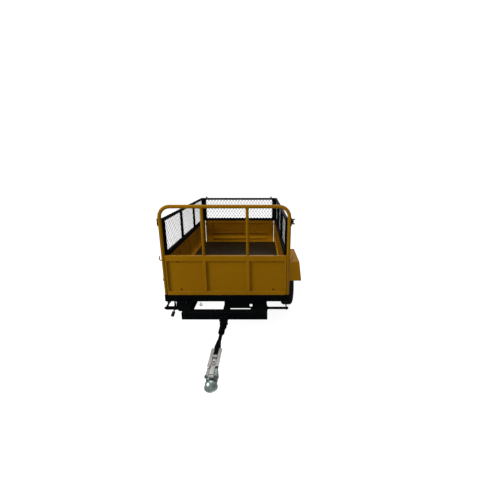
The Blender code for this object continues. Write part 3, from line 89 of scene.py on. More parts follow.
WHITE: Colour = (1.0, 1.0, 1.0)
AMBER_SHEEN: Colour = (1.0, 0.72, 0.20)


class Axis(Enum):
    """The direction that a turned shape's axis points in."""

    X = (1.0, 0.0, 0.0)
    Z = (0.0, 0.0, 1.0)
    MINUS_X = (-1.0, 0.0, 0.0)
    MINUS_Y = (0.0, -1.0, 0.0)


class Slot(Enum):
    """The record's material slots. A finish's slot is that of its own name, or its row in SHARED_SLOT;
    place works it out but doesn't put it on the piece.
    """

    AMBER = "amber_paint"
    BLACK = "black_paint"
    WIRE = "wire"
    ZINC = "zinc"
    STEEL = "steel"
    CAST = "cast"
    TYRE = "tyre"
    RUBBER = "rubber"
    PLASTIC = "plastic"


SHARED_SLOT: dict[str, Slot] = {
    "amber_dark": Slot.AMBER, "amber_guard": Slot.AMBER, "floor": Slot.BLACK, "rim": Slot.ZINC}


@dataclass(frozen=True)
class Shell:
    """A surface as plain arrays: points is (n, 3), quads is (m, 4) rows of point numbers."""

    points: Array
    quads: Array


def spokes(axis: Axis, angle: Array) -> Array:
    """Unit vectors square to an axis, one for each angle round it.

    Args:
        axis: the axis.
        angle: the angles, in radians.

    Returns:
        an (n, 3) array.
    """
    unit = np.array(axis.value)
    helper = np.array((0.0, 0.0, 1.0)) if abs(unit[2]) < 0.9 else np.array((1.0, 0.0, 0.0))
    first = np.cross(helper, unit)
    first /= np.linalg.norm(first)
    return np.cos(angle)[:, None] * first + np.sin(angle)[:, None] * np.cross(unit, first)


def lattice(rows: int, columns: int, closed: bool) -> Array:
    """The quads of a grid of points, each row of which is a ring.

    Args:
        rows: how many rows of points there are.
        columns: how many points a row has.
        closed: whether the last row joins the first.

    Returns:
        an (m, 4) array of point numbers.
    """
    r, c = np.meshgrid(np.arange(rows if closed else rows - 1), np.arange(columns), indexing="ij")
    r2, c2 = (r + 1) % rows, (c + 1) % columns
    quads = np.stack((r * columns + c, r * columns + c2, r2 * columns + c2, r2 * columns + c), axis=-1)
    return quads.reshape(-1, 4)


def turned(profile: Sequence[Pair], centre: Vec, axis: Axis, steps: int, start: float = 0.0) -> Shell:
    """A profile turned about an axis: point(a, s) = centre + radius(s) (cos a, sin a) + along(s) axis.

    Args:
        profile: rows of (radius, distance along the axis), from one pole to the other.
        centre: where the axis passes at distance zero.
        axis: which way the axis points.
        steps: how many points go round.
        start: the angle of the first point, in radians.

    Returns:
        the surface, whose poles are merged when it becomes a piece.
    """
    rows = np.array(profile)
    out = spokes(axis, start + np.linspace(0.0, TURN, steps, endpoint=False))
    points = np.array(centre) + rows[:, 0, None, None] * out + rows[:, 1, None, None] * np.array(axis.value)
    return Shell(points.reshape(-1, 3), lattice(len(rows), steps, False))


def carried(path: Array, radii: Array, closed: bool = False, sides: int = 8) -> Shell:
    """A round section carried along a path: point(s, a) = path(s) + radius(s) (cos a side + sin a rise).

    Args:
        path: the (n, 3) middle line.
        radii: the section's radius at each of its points.
        closed: whether the path joins its own start.
        sides: how many points go round the section.

    Returns:
        the surface; an open path is closed at its ends by letting the radius fall to nothing there.
    """
    tangent = np.roll(path, -1, axis=0) - np.roll(path, 1, axis=0) if closed else np.gradient(path, axis=0)
    tangent /= np.linalg.norm(tangent, axis=1)[:, None]
    steady = np.eye(3)[np.argmin(np.ptp(path, axis=0))]
    side = np.cross(tangent, steady)
    side /= np.linalg.norm(side, axis=1)[:, None]
    rise = np.cross(side, tangent)
    angle = np.linspace(0.0, TURN, sides, endpoint=False)
    width = radii[:, None, None] * np.cos(angle)[None, :, None] * side[:, None, :]
    height = radii[:, None, None] * np.sin(angle)[None, :, None] * rise[:, None, :]
    points = path[:, None, :] + width + height
    if not closed:
        points = np.concatenate((path[None, :1].repeat(sides, axis=1), points,
                                 path[None, -1:].repeat(sides, axis=1)))
    return Shell(points.reshape(-1, 3), lattice(len(points), sides, closed))


def hexagon_head(centre: Vec, axis: Axis, size: float, turn: float) -> list[Shell]:
    """A hexagon bolt head on a washer, as two turned shapes.

    Args:
        centre: where the washer meets the panel.
        axis: the way the head points.
        size: the bolt's nominal diameter in metres.
        turn: the head's angle in radians.

    Returns:
        the washer and the head.
    """
    washer, head, rise = size * 1.05, size * 0.86, size * 0.24
    top = rise + size * 0.62
    sunk = -0.0004
    disc = [(0.0, sunk), (washer, sunk), (washer, rise * 0.8), (washer * 0.94, rise), (0.0, rise)]
    nut = [(0.0, rise * 0.5), (head, rise * 0.5), (head, top * 0.93), (head * 0.86, top), (0.0, top)]
    return [turned(disc, centre, axis, 24), turned(nut, centre, axis, 6, turn)]


def domed_head(centre: Vec, radius: float, height: float) -> Shell:
    """An upright round bolt head: its height falls off as the square root of one less the radius squared.

    Args:
        centre: where the head meets the panel.
        radius: the head's radius.
        height: its height in the middle.

    Returns:
        the head's surface.
    """
    rows = [(radius * s, height * math.sqrt(1.0 - s ** 2)) for s in np.linspace(0.0, 1.0, 7).tolist()]
    return turned([*rows, (radius, -0.0005), (0.0, -0.0005)], centre, Axis.Z, 20)


class Ink:
    """A small hand for wiring one material's or group's nodes."""

    def __init__(self, tree: NodeTree) -> None:
        """Keeps the tree that the nodes go into."""
        self.tree = tree

    def node(self, kind: str, given: dict[str, Feed] | None = None, **settings: object) -> Node:
        """Adds a node.

        Args:
            kind: the node's type without the words ShaderNode in front.
            given: what its input sockets get, by name.
            settings: the node's own options.

        Returns:
            the new node.
        """
        made = self.tree.nodes.new(kind if kind.startswith("NodeGroup") else f"ShaderNode{kind}")
        for name, value in settings.items():
            setattr(made, name, value)
        self.give(made, given or {})
        return made

    def give(self, node: Node, given: dict[str, Feed]) -> None:
        """Feeds several input sockets of a node, by name."""
        for name, value in given.items():
            self.feed(node.inputs[name], value)

    def feed(self, target: NodeSocket, value: Feed) -> None:
        """Links an input socket to another node's output, or sets it to a constant.

        Args:
            target: the input socket.
            value: an output socket, a number or a colour.
        """
        if isinstance(value, NodeSocket):
            self.tree.links.new(value, target)
        else:
            target.default_value = (*value, 1.0) if isinstance(value, tuple) else value

    def place(self) -> NodeSocket:
        """Adds the place on the piece, in the piece's own space, and returns it."""
        return self.node("TexCoord").outputs["Object"]

    def noise(self, vector: NodeSocket, scale: Feed, detail: float = 3.0,
              roughness: float = 0.55) -> NodeSocket:
        """Adds a noise texture.

        Args:
            vector: where it is read.
            scale: how fine it is.
            detail: how many finer layers it has.
            roughness: how strong the finer layers are.

        Returns:
            its value.
        """
        given = {"Vector": vector, "Scale": scale, "Detail": detail, "Roughness": roughness}
        return self.node("TexNoise", given).outputs["Fac"]

    def span(self, value: NodeSocket, low: float, high: float, out_low: float = 0.0,
             out_high: float = 1.0) -> NodeSocket:
        """Maps one range of a value smoothly to another.

        Args:
            value: the value.
            low: where the range starts.
            high: where the range ends.
            out_low: what its start becomes.
            out_high: what its end becomes.

        Returns:
            the mapped value.
        """
        given = {"Value": value, "From Min": low, "From Max": high, "To Min": out_low, "To Max": out_high}
        return self.node("MapRange", given, interpolation_type="SMOOTHSTEP").outputs["Result"]

    def sum(self, operation: str, first: Feed, second: Feed = 0.0) -> NodeSocket:
        """Adds a Math node.

        Args:
            operation: the operation's name.
            first: its first value.
            second: its second value.

        Returns:
            the result.
        """
        made = self.node("Math", operation=operation)
        self.feed(made.inputs[0], first)
        self.feed(made.inputs[1], second)
        return made.outputs["Value"]

    def blend(self, share: NodeSocket, first: Feed, second: Feed) -> NodeSocket:
        """Mixes two colours.

        Args:
            share: how much of the second colour there is.
            first: the first colour.
            second: the second colour.

        Returns:
            the mixed colour.
        """
        made = self.node("Mix", data_type="RGBA")
        for index, value in ((0, share), (6, first), (7, second)):
            self.feed(made.inputs[index], value)
        return made.outputs[2]

    def bump(self, shader: Node, height: NodeSocket, strength: float, distance: float) -> None:
        """Feeds a height into a shader's normal.

        Args:
            shader: the shader whose Normal is fed.
            height: the height value.
            strength: the bump's strength from 0 to 1.
            distance: the height of a step of one, in metres.
        """
        bump = self.node("Bump", {"Strength": strength, "Distance": distance, "Height": height})
        self.feed(shader.inputs["Normal"], bump.outputs["Normal"])


class Groups:
    """The shader node groups that more than one finish uses, each built once."""

    def __init__(self) -> None:
        """Builds the wear, dust and coat groups."""
        self.wear = self._wear()
        self.dust = self._dust()
        self.coat = self._coat()

    @staticmethod
    def _open(name: str, inputs: dict[str, float | Colour],
              outputs: dict[str, str]) -> tuple[Ink, dict[str, NodeSocket], Node]:
        """Starts a group with named sockets.

        Args:
            name: the group's name.
            inputs: each input's default, by name.
            outputs: each output's type, Float or Color, by name.

        Returns:
            the wiring hand, what the group is given and its output node.
        """
        tree = bpy.data.node_groups.new(name, "ShaderNodeTree")
        for label, default in inputs.items():
            kind, full = ("Color", (*default, 1.0)) if isinstance(default, tuple) else ("Float", default)
            made = tree.interface.new_socket(label, in_out="INPUT", socket_type=f"NodeSocket{kind}")
            made.default_value = full
        for label, kind in outputs.items():
            tree.interface.new_socket(label, in_out="OUTPUT", socket_type=f"NodeSocket{kind}")
        ink = Ink(tree)
        return ink, ink.node("NodeGroupInput").outputs, ink.node("NodeGroupOutput")

    def _wear(self) -> NodeTree:
        """Edge wear: where the surface's softened normal leans away from its own, broken up by noise."""
        ink, given, out = self._open("edge_wear", {"Amount": 0.5, "Scale": 60.0}, {"Mask": "Float"})
        soft = ink.node("Bevel", {"Radius": 0.004}, samples=4)
        lean = ink.node("VectorMath", operation="DOT_PRODUCT")
        ink.feed(lean.inputs[0], soft.outputs["Normal"])
        ink.feed(lean.inputs[1], ink.node("NewGeometry").outputs["Normal"])
        edge = ink.span(lean.outputs["Value"], 0.90, 0.985, 1.0, 0.0)
        patch = ink.noise(ink.place(), given["Scale"], 5.0, 0.5)
        broken = ink.sum("MULTIPLY", edge, ink.span(patch, 0.42, 0.62))
        ink.feed(out.inputs["Mask"], ink.sum("MULTIPLY", broken, given["Amount"]))
        return ink.tree

    def _dust(self) -> NodeTree:
        """Dust: more on faces that look up, gathered in soft patches."""
        ink, given, out = self._open("settled_dust", {"Amount": 0.3}, {"Mask": "Float"})
        split = ink.node("SeparateXYZ", {"Vector": ink.node("NewGeometry").outputs["Normal"]})
        up = ink.span(split.outputs["Z"], 0.2, 1.0, 0.15, 1.0)
        patches = ink.span(ink.noise(ink.place(), 7.0, 6.0, 0.62), 0.35, 0.75)
        settled = ink.sum("MULTIPLY", up, patches)
        ink.feed(out.inputs["Mask"], ink.sum("MULTIPLY", settled, given["Amount"]))
        return ink.tree

    def _coat(self) -> NodeTree:
        """A sprayed coat: slow drifts of colour, an uneven gloss and the fine orange peel of the surface."""
        defaults = {"Colour": (0.2, 0.2, 0.2), "Shade": (0.1, 0.1, 0.1), "Gloss": 0.35, "Uneven": 0.1,
                    "Peel Scale": 420.0}
        ink, given, out = self._open("sprayed_coat", defaults,
                                     {"Colour": "Color", "Roughness": "Float", "Height": "Float"})
        place = ink.place()
        drift = ink.span(ink.noise(place, 2.6, 4.0, 0.6), 0.3, 0.7)
        cloud = ink.sum("SUBTRACT", ink.noise(place, 11.0, 5.0, 0.65), 0.5)
        uneven = ink.sum("MULTIPLY", cloud, given["Uneven"])
        peel = ink.noise(place, given["Peel Scale"], 1.0, 0.5)
        wave = ink.sum("MULTIPLY", ink.noise(place, 5.0, 2.0), 6.0)
        ink.give(out, {
            "Colour": ink.blend(drift, given["Colour"], given["Shade"]),
            "Roughness": ink.sum("ADD", given["Gloss"], uneven),
            "Height": ink.sum("ADD", peel, wave)})
        return ink.tree


@dataclass(frozen=True)
class Paint:
    """A sprayed paint with worn edges and settled dust.

    Where low is given, the box's inside goes from low near the floor to colour further up, and its outside is
    outer: low is painted light, a lighter amber near the floor, and a colour darker than outer is painted
    shade on the inside. In metres, fade is where the first happens, and beside and behind are where the
    outside begins.
    """

    name: str
    colour: Colour
    shade: Colour
    bare: Colour
    gloss: float = 0.34
    uneven: float = 0.16
    wear: float = 0.5
    dust: float = 0.12
    dust_colour: Colour = (0.30, 0.27, 0.22)
    specular: float = 0.5
    bump: float = 0.05
    sheen: Colour = WHITE
    low: Colour | None = None
    outer: Colour = (0.0, 0.0, 0.0)
    fade: Pair = (0.56, 0.68)
    beside: Pair = (0.4955, 0.4965)
    behind: Pair = (1.2123, 1.2133)

    def make(self, groups: Groups) -> Material:
        """Builds the material.

        Args:
            groups: the shared node groups.

        Returns:
            the finished material.
        """
        material, ink, shader = blank(self.name)
        sprayed = {"Colour": self.colour, "Shade": self.shade, "Gloss": self.gloss, "Uneven": self.uneven}
        coat = ink.node("Group", sprayed, node_tree=groups.coat)
        wear = ink.node("Group", {"Amount": self.wear}, node_tree=groups.wear).outputs["Mask"]
        dust = ink.node("Group", {"Amount": self.dust}, node_tree=groups.dust).outputs["Mask"]
        colour = coat.outputs["Colour"]
        # Painted light and shade: inside the box the colour goes from a lighter amber near the floor to a
        # darker one higher up; the outside is outer.
        if self.low is not None:
            split = ink.node("SeparateXYZ", {"Vector": ink.place()})
            inner = ink.blend(ink.span(split.outputs["Z"], *self.fade, 1.0, 0.0), colour, self.low)
            beside = ink.span(ink.sum("ABSOLUTE", split.outputs["X"]), *self.beside)
            behind = ink.span(split.outputs["Y"], *self.behind)
            colour = ink.blend(ink.sum("MAXIMUM", beside, behind), inner, self.outer)
        dusty = ink.blend(dust, colour, self.dust_colour)
        ink.give(shader, {
            "Base Color": ink.blend(wear, dusty, self.bare),
            "Roughness": ink.sum("ADD", coat.outputs["Roughness"], ink.sum("MULTIPLY", dust, 0.4)),
            "Specular IOR Level": self.specular,
            "Specular Tint": self.sheen})
        ink.bump(shader, coat.outputs["Height"], self.bump, 0.0004)
        return material


@dataclass(frozen=True)
class Metal:
    """Plated, rolled or cast metal: cloudy colour, uneven polish, a grain and, if asked, painted shade that
    darkens its corners and recesses.
    """

    name: str
    colour: Colour
    shade: Colour
    tint: Colour
    rough: float = 0.35
    uneven: float = 0.3
    cloud: float = 35.0
    grain: float = 260.0
    bump: float = 0.12
    metallic: float = 1.0
    wear: float = 0.4
    grime: float = 0.0
    grime_reach: float = 0.04
    grime_colour: Colour = (0.05, 0.045, 0.045)

    def make(self, groups: Groups) -> Material:
        """Builds the material.

        Args:
            groups: the shared node groups.

        Returns:
            the finished material.
        """
        material, ink, shader = blank(self.name)
        place = ink.place()
        cloud = ink.span(ink.noise(place, self.cloud, 5.0, 0.6), 0.35, 0.65)
        stain = ink.span(ink.noise(place, self.cloud * 0.4), 0.5, 0.7)
        mixed = ink.blend(cloud, self.colour, self.shade)
        wear = ink.node("Group", {"Amount": self.wear}, node_tree=groups.wear).outputs["Mask"]
        tinted = ink.blend(ink.sum("MULTIPLY", stain, 0.5), mixed, self.tint)
        worn_and_shaded = ink.blend(wear, tinted, self.colour)
        # Painted shade: the colour is darkened where ambient occlusion finds other surfaces close by, in
        # corners and recesses.
        if self.grime > 0.0:
            shelter = ink.node("AmbientOcclusion", {"Distance": self.grime_reach}, samples=8)
            depth = ink.span(shelter.outputs["AO"], 0.35, 0.95, self.grime, 0.0)
            worn_and_shaded = ink.blend(depth, worn_and_shaded, self.grime_colour)
        polish = ink.sum("SUBTRACT", ink.noise(place, self.cloud * 1.7, 4.0), 0.5)
        ink.give(shader, {
            "Base Color": worn_and_shaded,
            "Roughness": ink.sum("ADD", ink.sum("MULTIPLY", polish, self.uneven), self.rough),
            "Metallic": self.metallic})
        ink.bump(shader, ink.noise(place, self.grain, 2.0), self.bump, 0.0006)
        return material


@dataclass(frozen=True)
class Rubber:
    """Moulded rubber or plastic: a near-black body with a chalky bloom and a fine grain."""

    name: str
    colour: Colour
    bloom: Colour
    rough: float = 0.72
    scale: float = 9.0
    grain: float = 900.0
    bump: float = 0.15
    specular: float = 0.3
    dust: float = 0.25
    dust_colour: Colour = (0.10, 0.09, 0.075)

    def make(self, groups: Groups) -> Material:
        """Builds the material.

        Args:
            groups: the shared node groups.

        Returns:
            the finished material.
        """
        material, ink, shader = blank(self.name)
        place = ink.place()
        chalk = ink.span(ink.noise(place, self.scale, 6.0, 0.65), 0.42, 0.78)
        dust = ink.node("Group", {"Amount": self.dust}, node_tree=groups.dust).outputs["Mask"]
        ink.give(shader, {
            "Base Color": ink.blend(dust, ink.blend(chalk, self.colour, self.bloom), self.dust_colour),
            "Roughness": ink.sum("ADD", ink.sum("MULTIPLY", chalk, 0.15), self.rough),
            "Specular IOR Level": self.specular})
        ink.bump(shader, ink.noise(place, self.grain, 2.0), self.bump, 0.0003)
        return material


def blank(name: str) -> tuple[Material, Ink, Node]:
    """Starts a material.

    Args:
        name: the material's name.

    Returns:
        the material, its wiring hand and its Principled shader.
    """
    material = bpy.data.materials.new(name)
    material.use_nodes = True
    return material, Ink(material.node_tree), material.node_tree.nodes["Principled BSDF"]


@dataclass(frozen=True)
class Palette:
    """The trailer's finishes."""

    amber: Paint = Paint(
        "amber_coat", (0.325, 0.148, 0.0022), (0.295, 0.130, 0.0018), (0.62, 0.42, 0.16),
        gloss=0.32, wear=0.35, dust=0.01, specular=0.10, sheen=AMBER_SHEEN)
    # Painted shade and light: the box's inside is a darker amber than its outside, lighter again near the
    # floor; its edge wear is real.
    amber_dark: Paint = Paint(
        "amber_worn_painted_shade_and_light", (0.290, 0.120, 0.0022), (0.230, 0.090, 0.0018), (0.50, 0.34, 0.14),
        gloss=0.42, wear=0.5, dust=0.02, specular=0.08, sheen=AMBER_SHEEN, low=(0.57, 0.262, 0.0040),
        outer=(0.315, 0.141, 0.0021))
    # Painted light: the mudguards are a lighter copy of the same amber paint, standing in for the light on
    # their tops and slopes.
    amber_guard: Paint = Paint(
        "amber_guards_painted_light", (0.380, 0.172, 0.0022), (0.350, 0.155, 0.0018), (0.62, 0.42, 0.16),
        gloss=0.34, wear=0.5, dust=0.01, specular=0.05, sheen=AMBER_SHEEN)
    black: Paint = Paint(
        "black_coat", (0.0024, 0.0038, 0.0044), (0.0016, 0.0026, 0.0031), (0.040, 0.040, 0.039),
        gloss=0.45, wear=0.35, dust=0.01, specular=0.02, dust_colour=(0.05, 0.048, 0.043))
    floor: Paint = Paint(
        "floor_coat", (0.0250, 0.0165, 0.0066), (0.0140, 0.0092, 0.0044), (0.060, 0.052, 0.040),
        gloss=0.48, uneven=0.35, wear=0.4, dust=0.05, specular=0.06, dust_colour=(0.035, 0.030, 0.022))
    wire: Paint = Paint(
        "wire_coat", (0.020, 0.021, 0.021), (0.012, 0.012, 0.012), (0.16, 0.15, 0.14),
        gloss=0.5, wear=0.2, dust=0.1, specular=0.3)
    # The zinc gets painted shade in its corners and recesses, such as the coupling trough between its walls
    # and handle.
    zinc: Metal = Metal(
        "zinc_plate", (0.52, 0.51, 0.50), (0.43, 0.42, 0.41), (0.44, 0.39, 0.36),
        rough=0.48, uneven=0.12, cloud=16.0, bump=0.05, grime=0.9)
    steel: Metal = Metal("bare_steel", (0.20, 0.20, 0.21), (0.10, 0.10, 0.10), (0.14, 0.11, 0.08), rough=0.42)
    cast: Metal = Metal(
        "plated_casting", (0.45, 0.53, 0.51), (0.26, 0.32, 0.31), (0.42, 0.46, 0.42),
        rough=0.34, uneven=0.35, grain=170.0, bump=0.3)
    rim: Metal = Metal(
        "rim_lacquer", (0.55, 0.55, 0.55), (0.48, 0.48, 0.48), (0.42, 0.40, 0.37),
        rough=0.38, metallic=0.75, bump=0.05)
    tyre: Rubber = Rubber("tyre_rubber", (0.0065, 0.0068, 0.0068), (0.020, 0.019, 0.018))
    rubber: Rubber = Rubber("pad_rubber", (0.010, 0.010, 0.010), (0.022, 0.021, 0.020))
    plastic: Rubber = Rubber("black_plastic", (0.008, 0.008, 0.009), (0.014, 0.014, 0.014), rough=0.45)

    def made(self, groups: Groups) -> dict[str, Material]:
        """Builds every finish and returns them by field name."""
        return {name: getattr(self, name).make(groups) for name in self.__dataclass_fields__}


@dataclass
class Workshop:
    """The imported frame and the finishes, and the ways in which pieces are made from them."""

    nodes: dict[str, Object]
    body_of: dict[str, str]
    finishes: dict[str, Material]

    def place(self, obj: Object, finish: str, body: str, instead: Sequence[str], slot: Slot | None) -> None:
        """Paints a finished piece, lets it ride on its body and reports it.

        Args:
            obj: the piece, at the origin.
            finish: the finish's name in the palette.
            body: the body it moves with.
            instead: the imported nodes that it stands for.
            slot: the record's slot, if it isn't the finish's own.
        """
        slot = slot or SHARED_SLOT.get(finish) or Slot[finish.upper()]
        obj.data.materials.clear()
        obj.data.materials.append(self.finishes[finish])
        if instead:
            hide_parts(*instead)
        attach(obj, body)
        LOG.info("%s rides on %s, %d faces", obj.name, body, len(obj.data.polygons))

    def piece(self, name: str, shells: Sequence[Shell], finish: str, body: str,
              instead: Sequence[str] = (), slot: Slot | None = None) -> None:
        """Makes one piece from several surfaces, with seams and poles merged and faces turned outwards.

        Args:
            name: the piece's name.
            shells: its surfaces.
            finish: the finish's name in the palette.
            body: the body it moves with.
            instead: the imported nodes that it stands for.
            slot: the record's slot, if it isn't the finish's own.
        """
        first = np.cumsum([0, *(len(shell.points) for shell in shells)])
        points = np.concatenate([shell.points for shell in shells])
        quads = np.concatenate([shell.quads + start for shell, start in zip(shells, first)])
        mesh = bpy.data.meshes.new(name)
        mesh.from_pydata(points.tolist(), [], quads.tolist())
        work = bmesh.new()
        work.from_mesh(mesh)
        bmesh.ops.remove_doubles(work, verts=work.verts, dist=SEAM)
        bmesh.ops.recalc_face_normals(work, faces=work.faces)
        work.to_mesh(mesh)
        work.free()
        self.place(self._shown(mesh), finish, body, instead, slot)

    def rounded(self, node: str, finish: str, width: float, segments: int = 2, convex: bool = False,
                slot: Slot | None = None) -> None:
        """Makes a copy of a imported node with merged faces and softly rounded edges, to stand for it.

        Args:
            node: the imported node.
            finish: the finish's name in the palette.
            width: the width of the rounding in metres.
            segments: how many faces the rounding has.
            convex: whether faces of more than four sides are cut into triangles, so that none folds over.
            slot: the record's slot, if it isn't the finish's own.
        """
        work = bmesh.new()
        work.from_mesh(self.nodes[node].data)
        bmesh.ops.remove_doubles(work, verts=work.verts, dist=PACKED_SEAM)
        bmesh.ops.dissolve_limit(work, angle_limit=FLAT_ANGLE, verts=work.verts, edges=work.edges)
        if convex:
            wide = [face for face in work.faces if len(face.verts) > 4]
            bmesh.ops.triangulate(work, faces=wide)
        mesh = bpy.data.meshes.new(f"{node}_dressed")
        work.to_mesh(mesh)
        work.free()
        obj = self._shown(mesh)
        bevel = obj.modifiers.new("rounded_edges", "BEVEL")
        bevel.width = width
        bevel.segments = segments
        bevel.limit_method = "ANGLE"
        bevel.angle_limit = BEVEL_ANGLE
        bevel.harden_normals = True
        bevel.use_clamp_overlap = True
        self.place(obj, finish, self.body_of[node], [node], slot)

    @staticmethod
    def _shown(mesh: Mesh) -> Object:
        """Smooths a mesh, apart from its sharp edges, and returns it as an object in the scene."""
        mesh.polygons.foreach_set("use_smooth", np.ones(len(mesh.polygons), dtype=bool))
        mesh.set_sharp_from_angle(angle=SMOOTH_ANGLE)
        obj = bpy.data.objects.new(mesh.name, mesh)
        bpy.context.scene.collection.objects.link(obj)
        return obj


@dataclass
class Chassis:
    """The black running frame, its drawbar and its welds."""

    rail_inner: float = 0.292
    rail_bottom: float = 0.359
    beam_bottom: float = 0.379
    rail_top: float = 0.439
    beam_rear: float = -0.50375
    anchor: Pair = (-0.20625, -0.14625)
    rear_member: Pair = (0.48575, 0.54575)
    beam_front: float = -0.56375
    drawbar: float = 0.025
    drawbar_top: float = 0.410
    weld: float = 0.0042
    weld_inset: float = 0.002

    def build(self, shop: Workshop) -> None:
        """Dresses the chassis.

        Args:
            shop: the workshop.
        """
        for node in ("chassis_frame", "drawbar_tube", "axle_beam"):
            shop.rounded(node, "black", 0.0022, 3)
        shop.rounded("swivel_housing", "black", 0.0015)
        for node in ("hole_plate", "corner_plate"):
            shop.rounded(node, "black", 0.0008)
        for side in SIDES:
            shop.rounded(f"axle_bracket_{side}", "black", 0.0012)
            shop.rounded(f"outrigger_{side}", "black", 0.0010, 2, True)
            shop.rounded(f"rest_pad_{side}", "rubber", 0.0012)
            shop.rounded(f"pivot_pin_{side}", "steel", 0.0008)
        shop.piece("chassis_welds", self.welds(), "black", "chassis")
        shop.rounded("body_catch", "black", 0.0010)
        shop.rounded("catch_grip", "plastic", 0.0025, 3)

    def welds(self) -> list[Shell]:
        """The beads at the frame's corners and round the drawbar's end."""
        beads: list[Shell] = []
        for sign in SIDES.values():
            x = sign * self.rail_inner
            for y in (self.beam_rear, *self.anchor, *self.rear_member):
                low = self.beam_bottom if y == self.beam_rear else self.rail_bottom + self.weld_inset
                beads.append(bead([(x, y, low), (x, y, self.rail_top - self.weld_inset)], self.weld))
        corners = ((-self.drawbar, self.beam_bottom), (-self.drawbar, self.drawbar_top),
                   (self.drawbar, self.drawbar_top), (self.drawbar, self.beam_bottom))
        beads.append(bead([(x, self.beam_front, z) for x, z in corners], self.weld))
        return beads


def bead(corners: Sequence[Vec], radius: float, pitch: float = 0.0042) -> Shell:
    """A weld bead: a round section whose radius swells and falls once a pitch, carried along straight runs.

    Args:
        corners: the run's corners.
        radius: the bead's largest radius.
        pitch: the length of one ripple.

    Returns:
        the bead's surface.
    """
    corner = np.array(corners)
    leg = np.linalg.norm(np.diff(corner, axis=0), axis=1)
    reach = np.concatenate(([0.0], np.cumsum(leg)))
    count = max(8, int(reach[-1] / pitch * 4))
    along = np.linspace(0.0, reach[-1], count)
    path = np.stack([np.interp(along, reach, corner[:, axis]) for axis in range(3)], axis=1)
    ripple = 0.80 + 0.20 * np.abs(np.sin(math.pi * along / pitch))
    taper = np.clip(np.minimum(along, reach[-1] - along) / radius, 0.25, 1.0)
    return carried(path, radius * ripple * taper)


def ring_bead(centre: Vec, radius: float, thickness: float) -> Shell:
    """A weld bead that goes once round an upright tube.

    Args:
        centre: the tube's middle at the weld.
        radius: the tube's radius.
        thickness: the bead's radius.

    Returns:
        the bead's surface.
    """
    angle = np.linspace(0.0, TURN, 48, endpoint=False)
    path = np.array(centre) + radius * spokes(Axis.Z, angle)
    ripple = thickness * (0.82 + 0.18 * np.abs(np.sin(angle * 9.0)))
    return carried(path, ripple, closed=True)


class Coupling:
    """The swivelling ball coupling on the drawbar's end."""

    def build(self, shop: Workshop) -> None:
        """Dresses the coupling.

        Args:
            shop: the workshop.
        """
        shop.rounded("swivel_shank", "black", 0.0018, 3, slot=Slot.STEEL)
        shop.rounded("shank_nut", "steel", 0.0010)
        shop.rounded("coupling_trough", "zinc", 0.0012)
        shop.rounded("coupling_head", "cast", 0.0022, 3)
        shop.rounded("coupling_handle", "zinc", 0.0012)
        shop.rounded("safety_catch", "zinc", 0.0007)
        shop.rounded("ball_jaw", "cast", 0.0010)
        shop.rounded("handle_pivot", "steel", 0.0008)
        for number in (1, 2, 3):
            shop.rounded(f"coupling_bolt_{number}", "zinc", 0.0007)


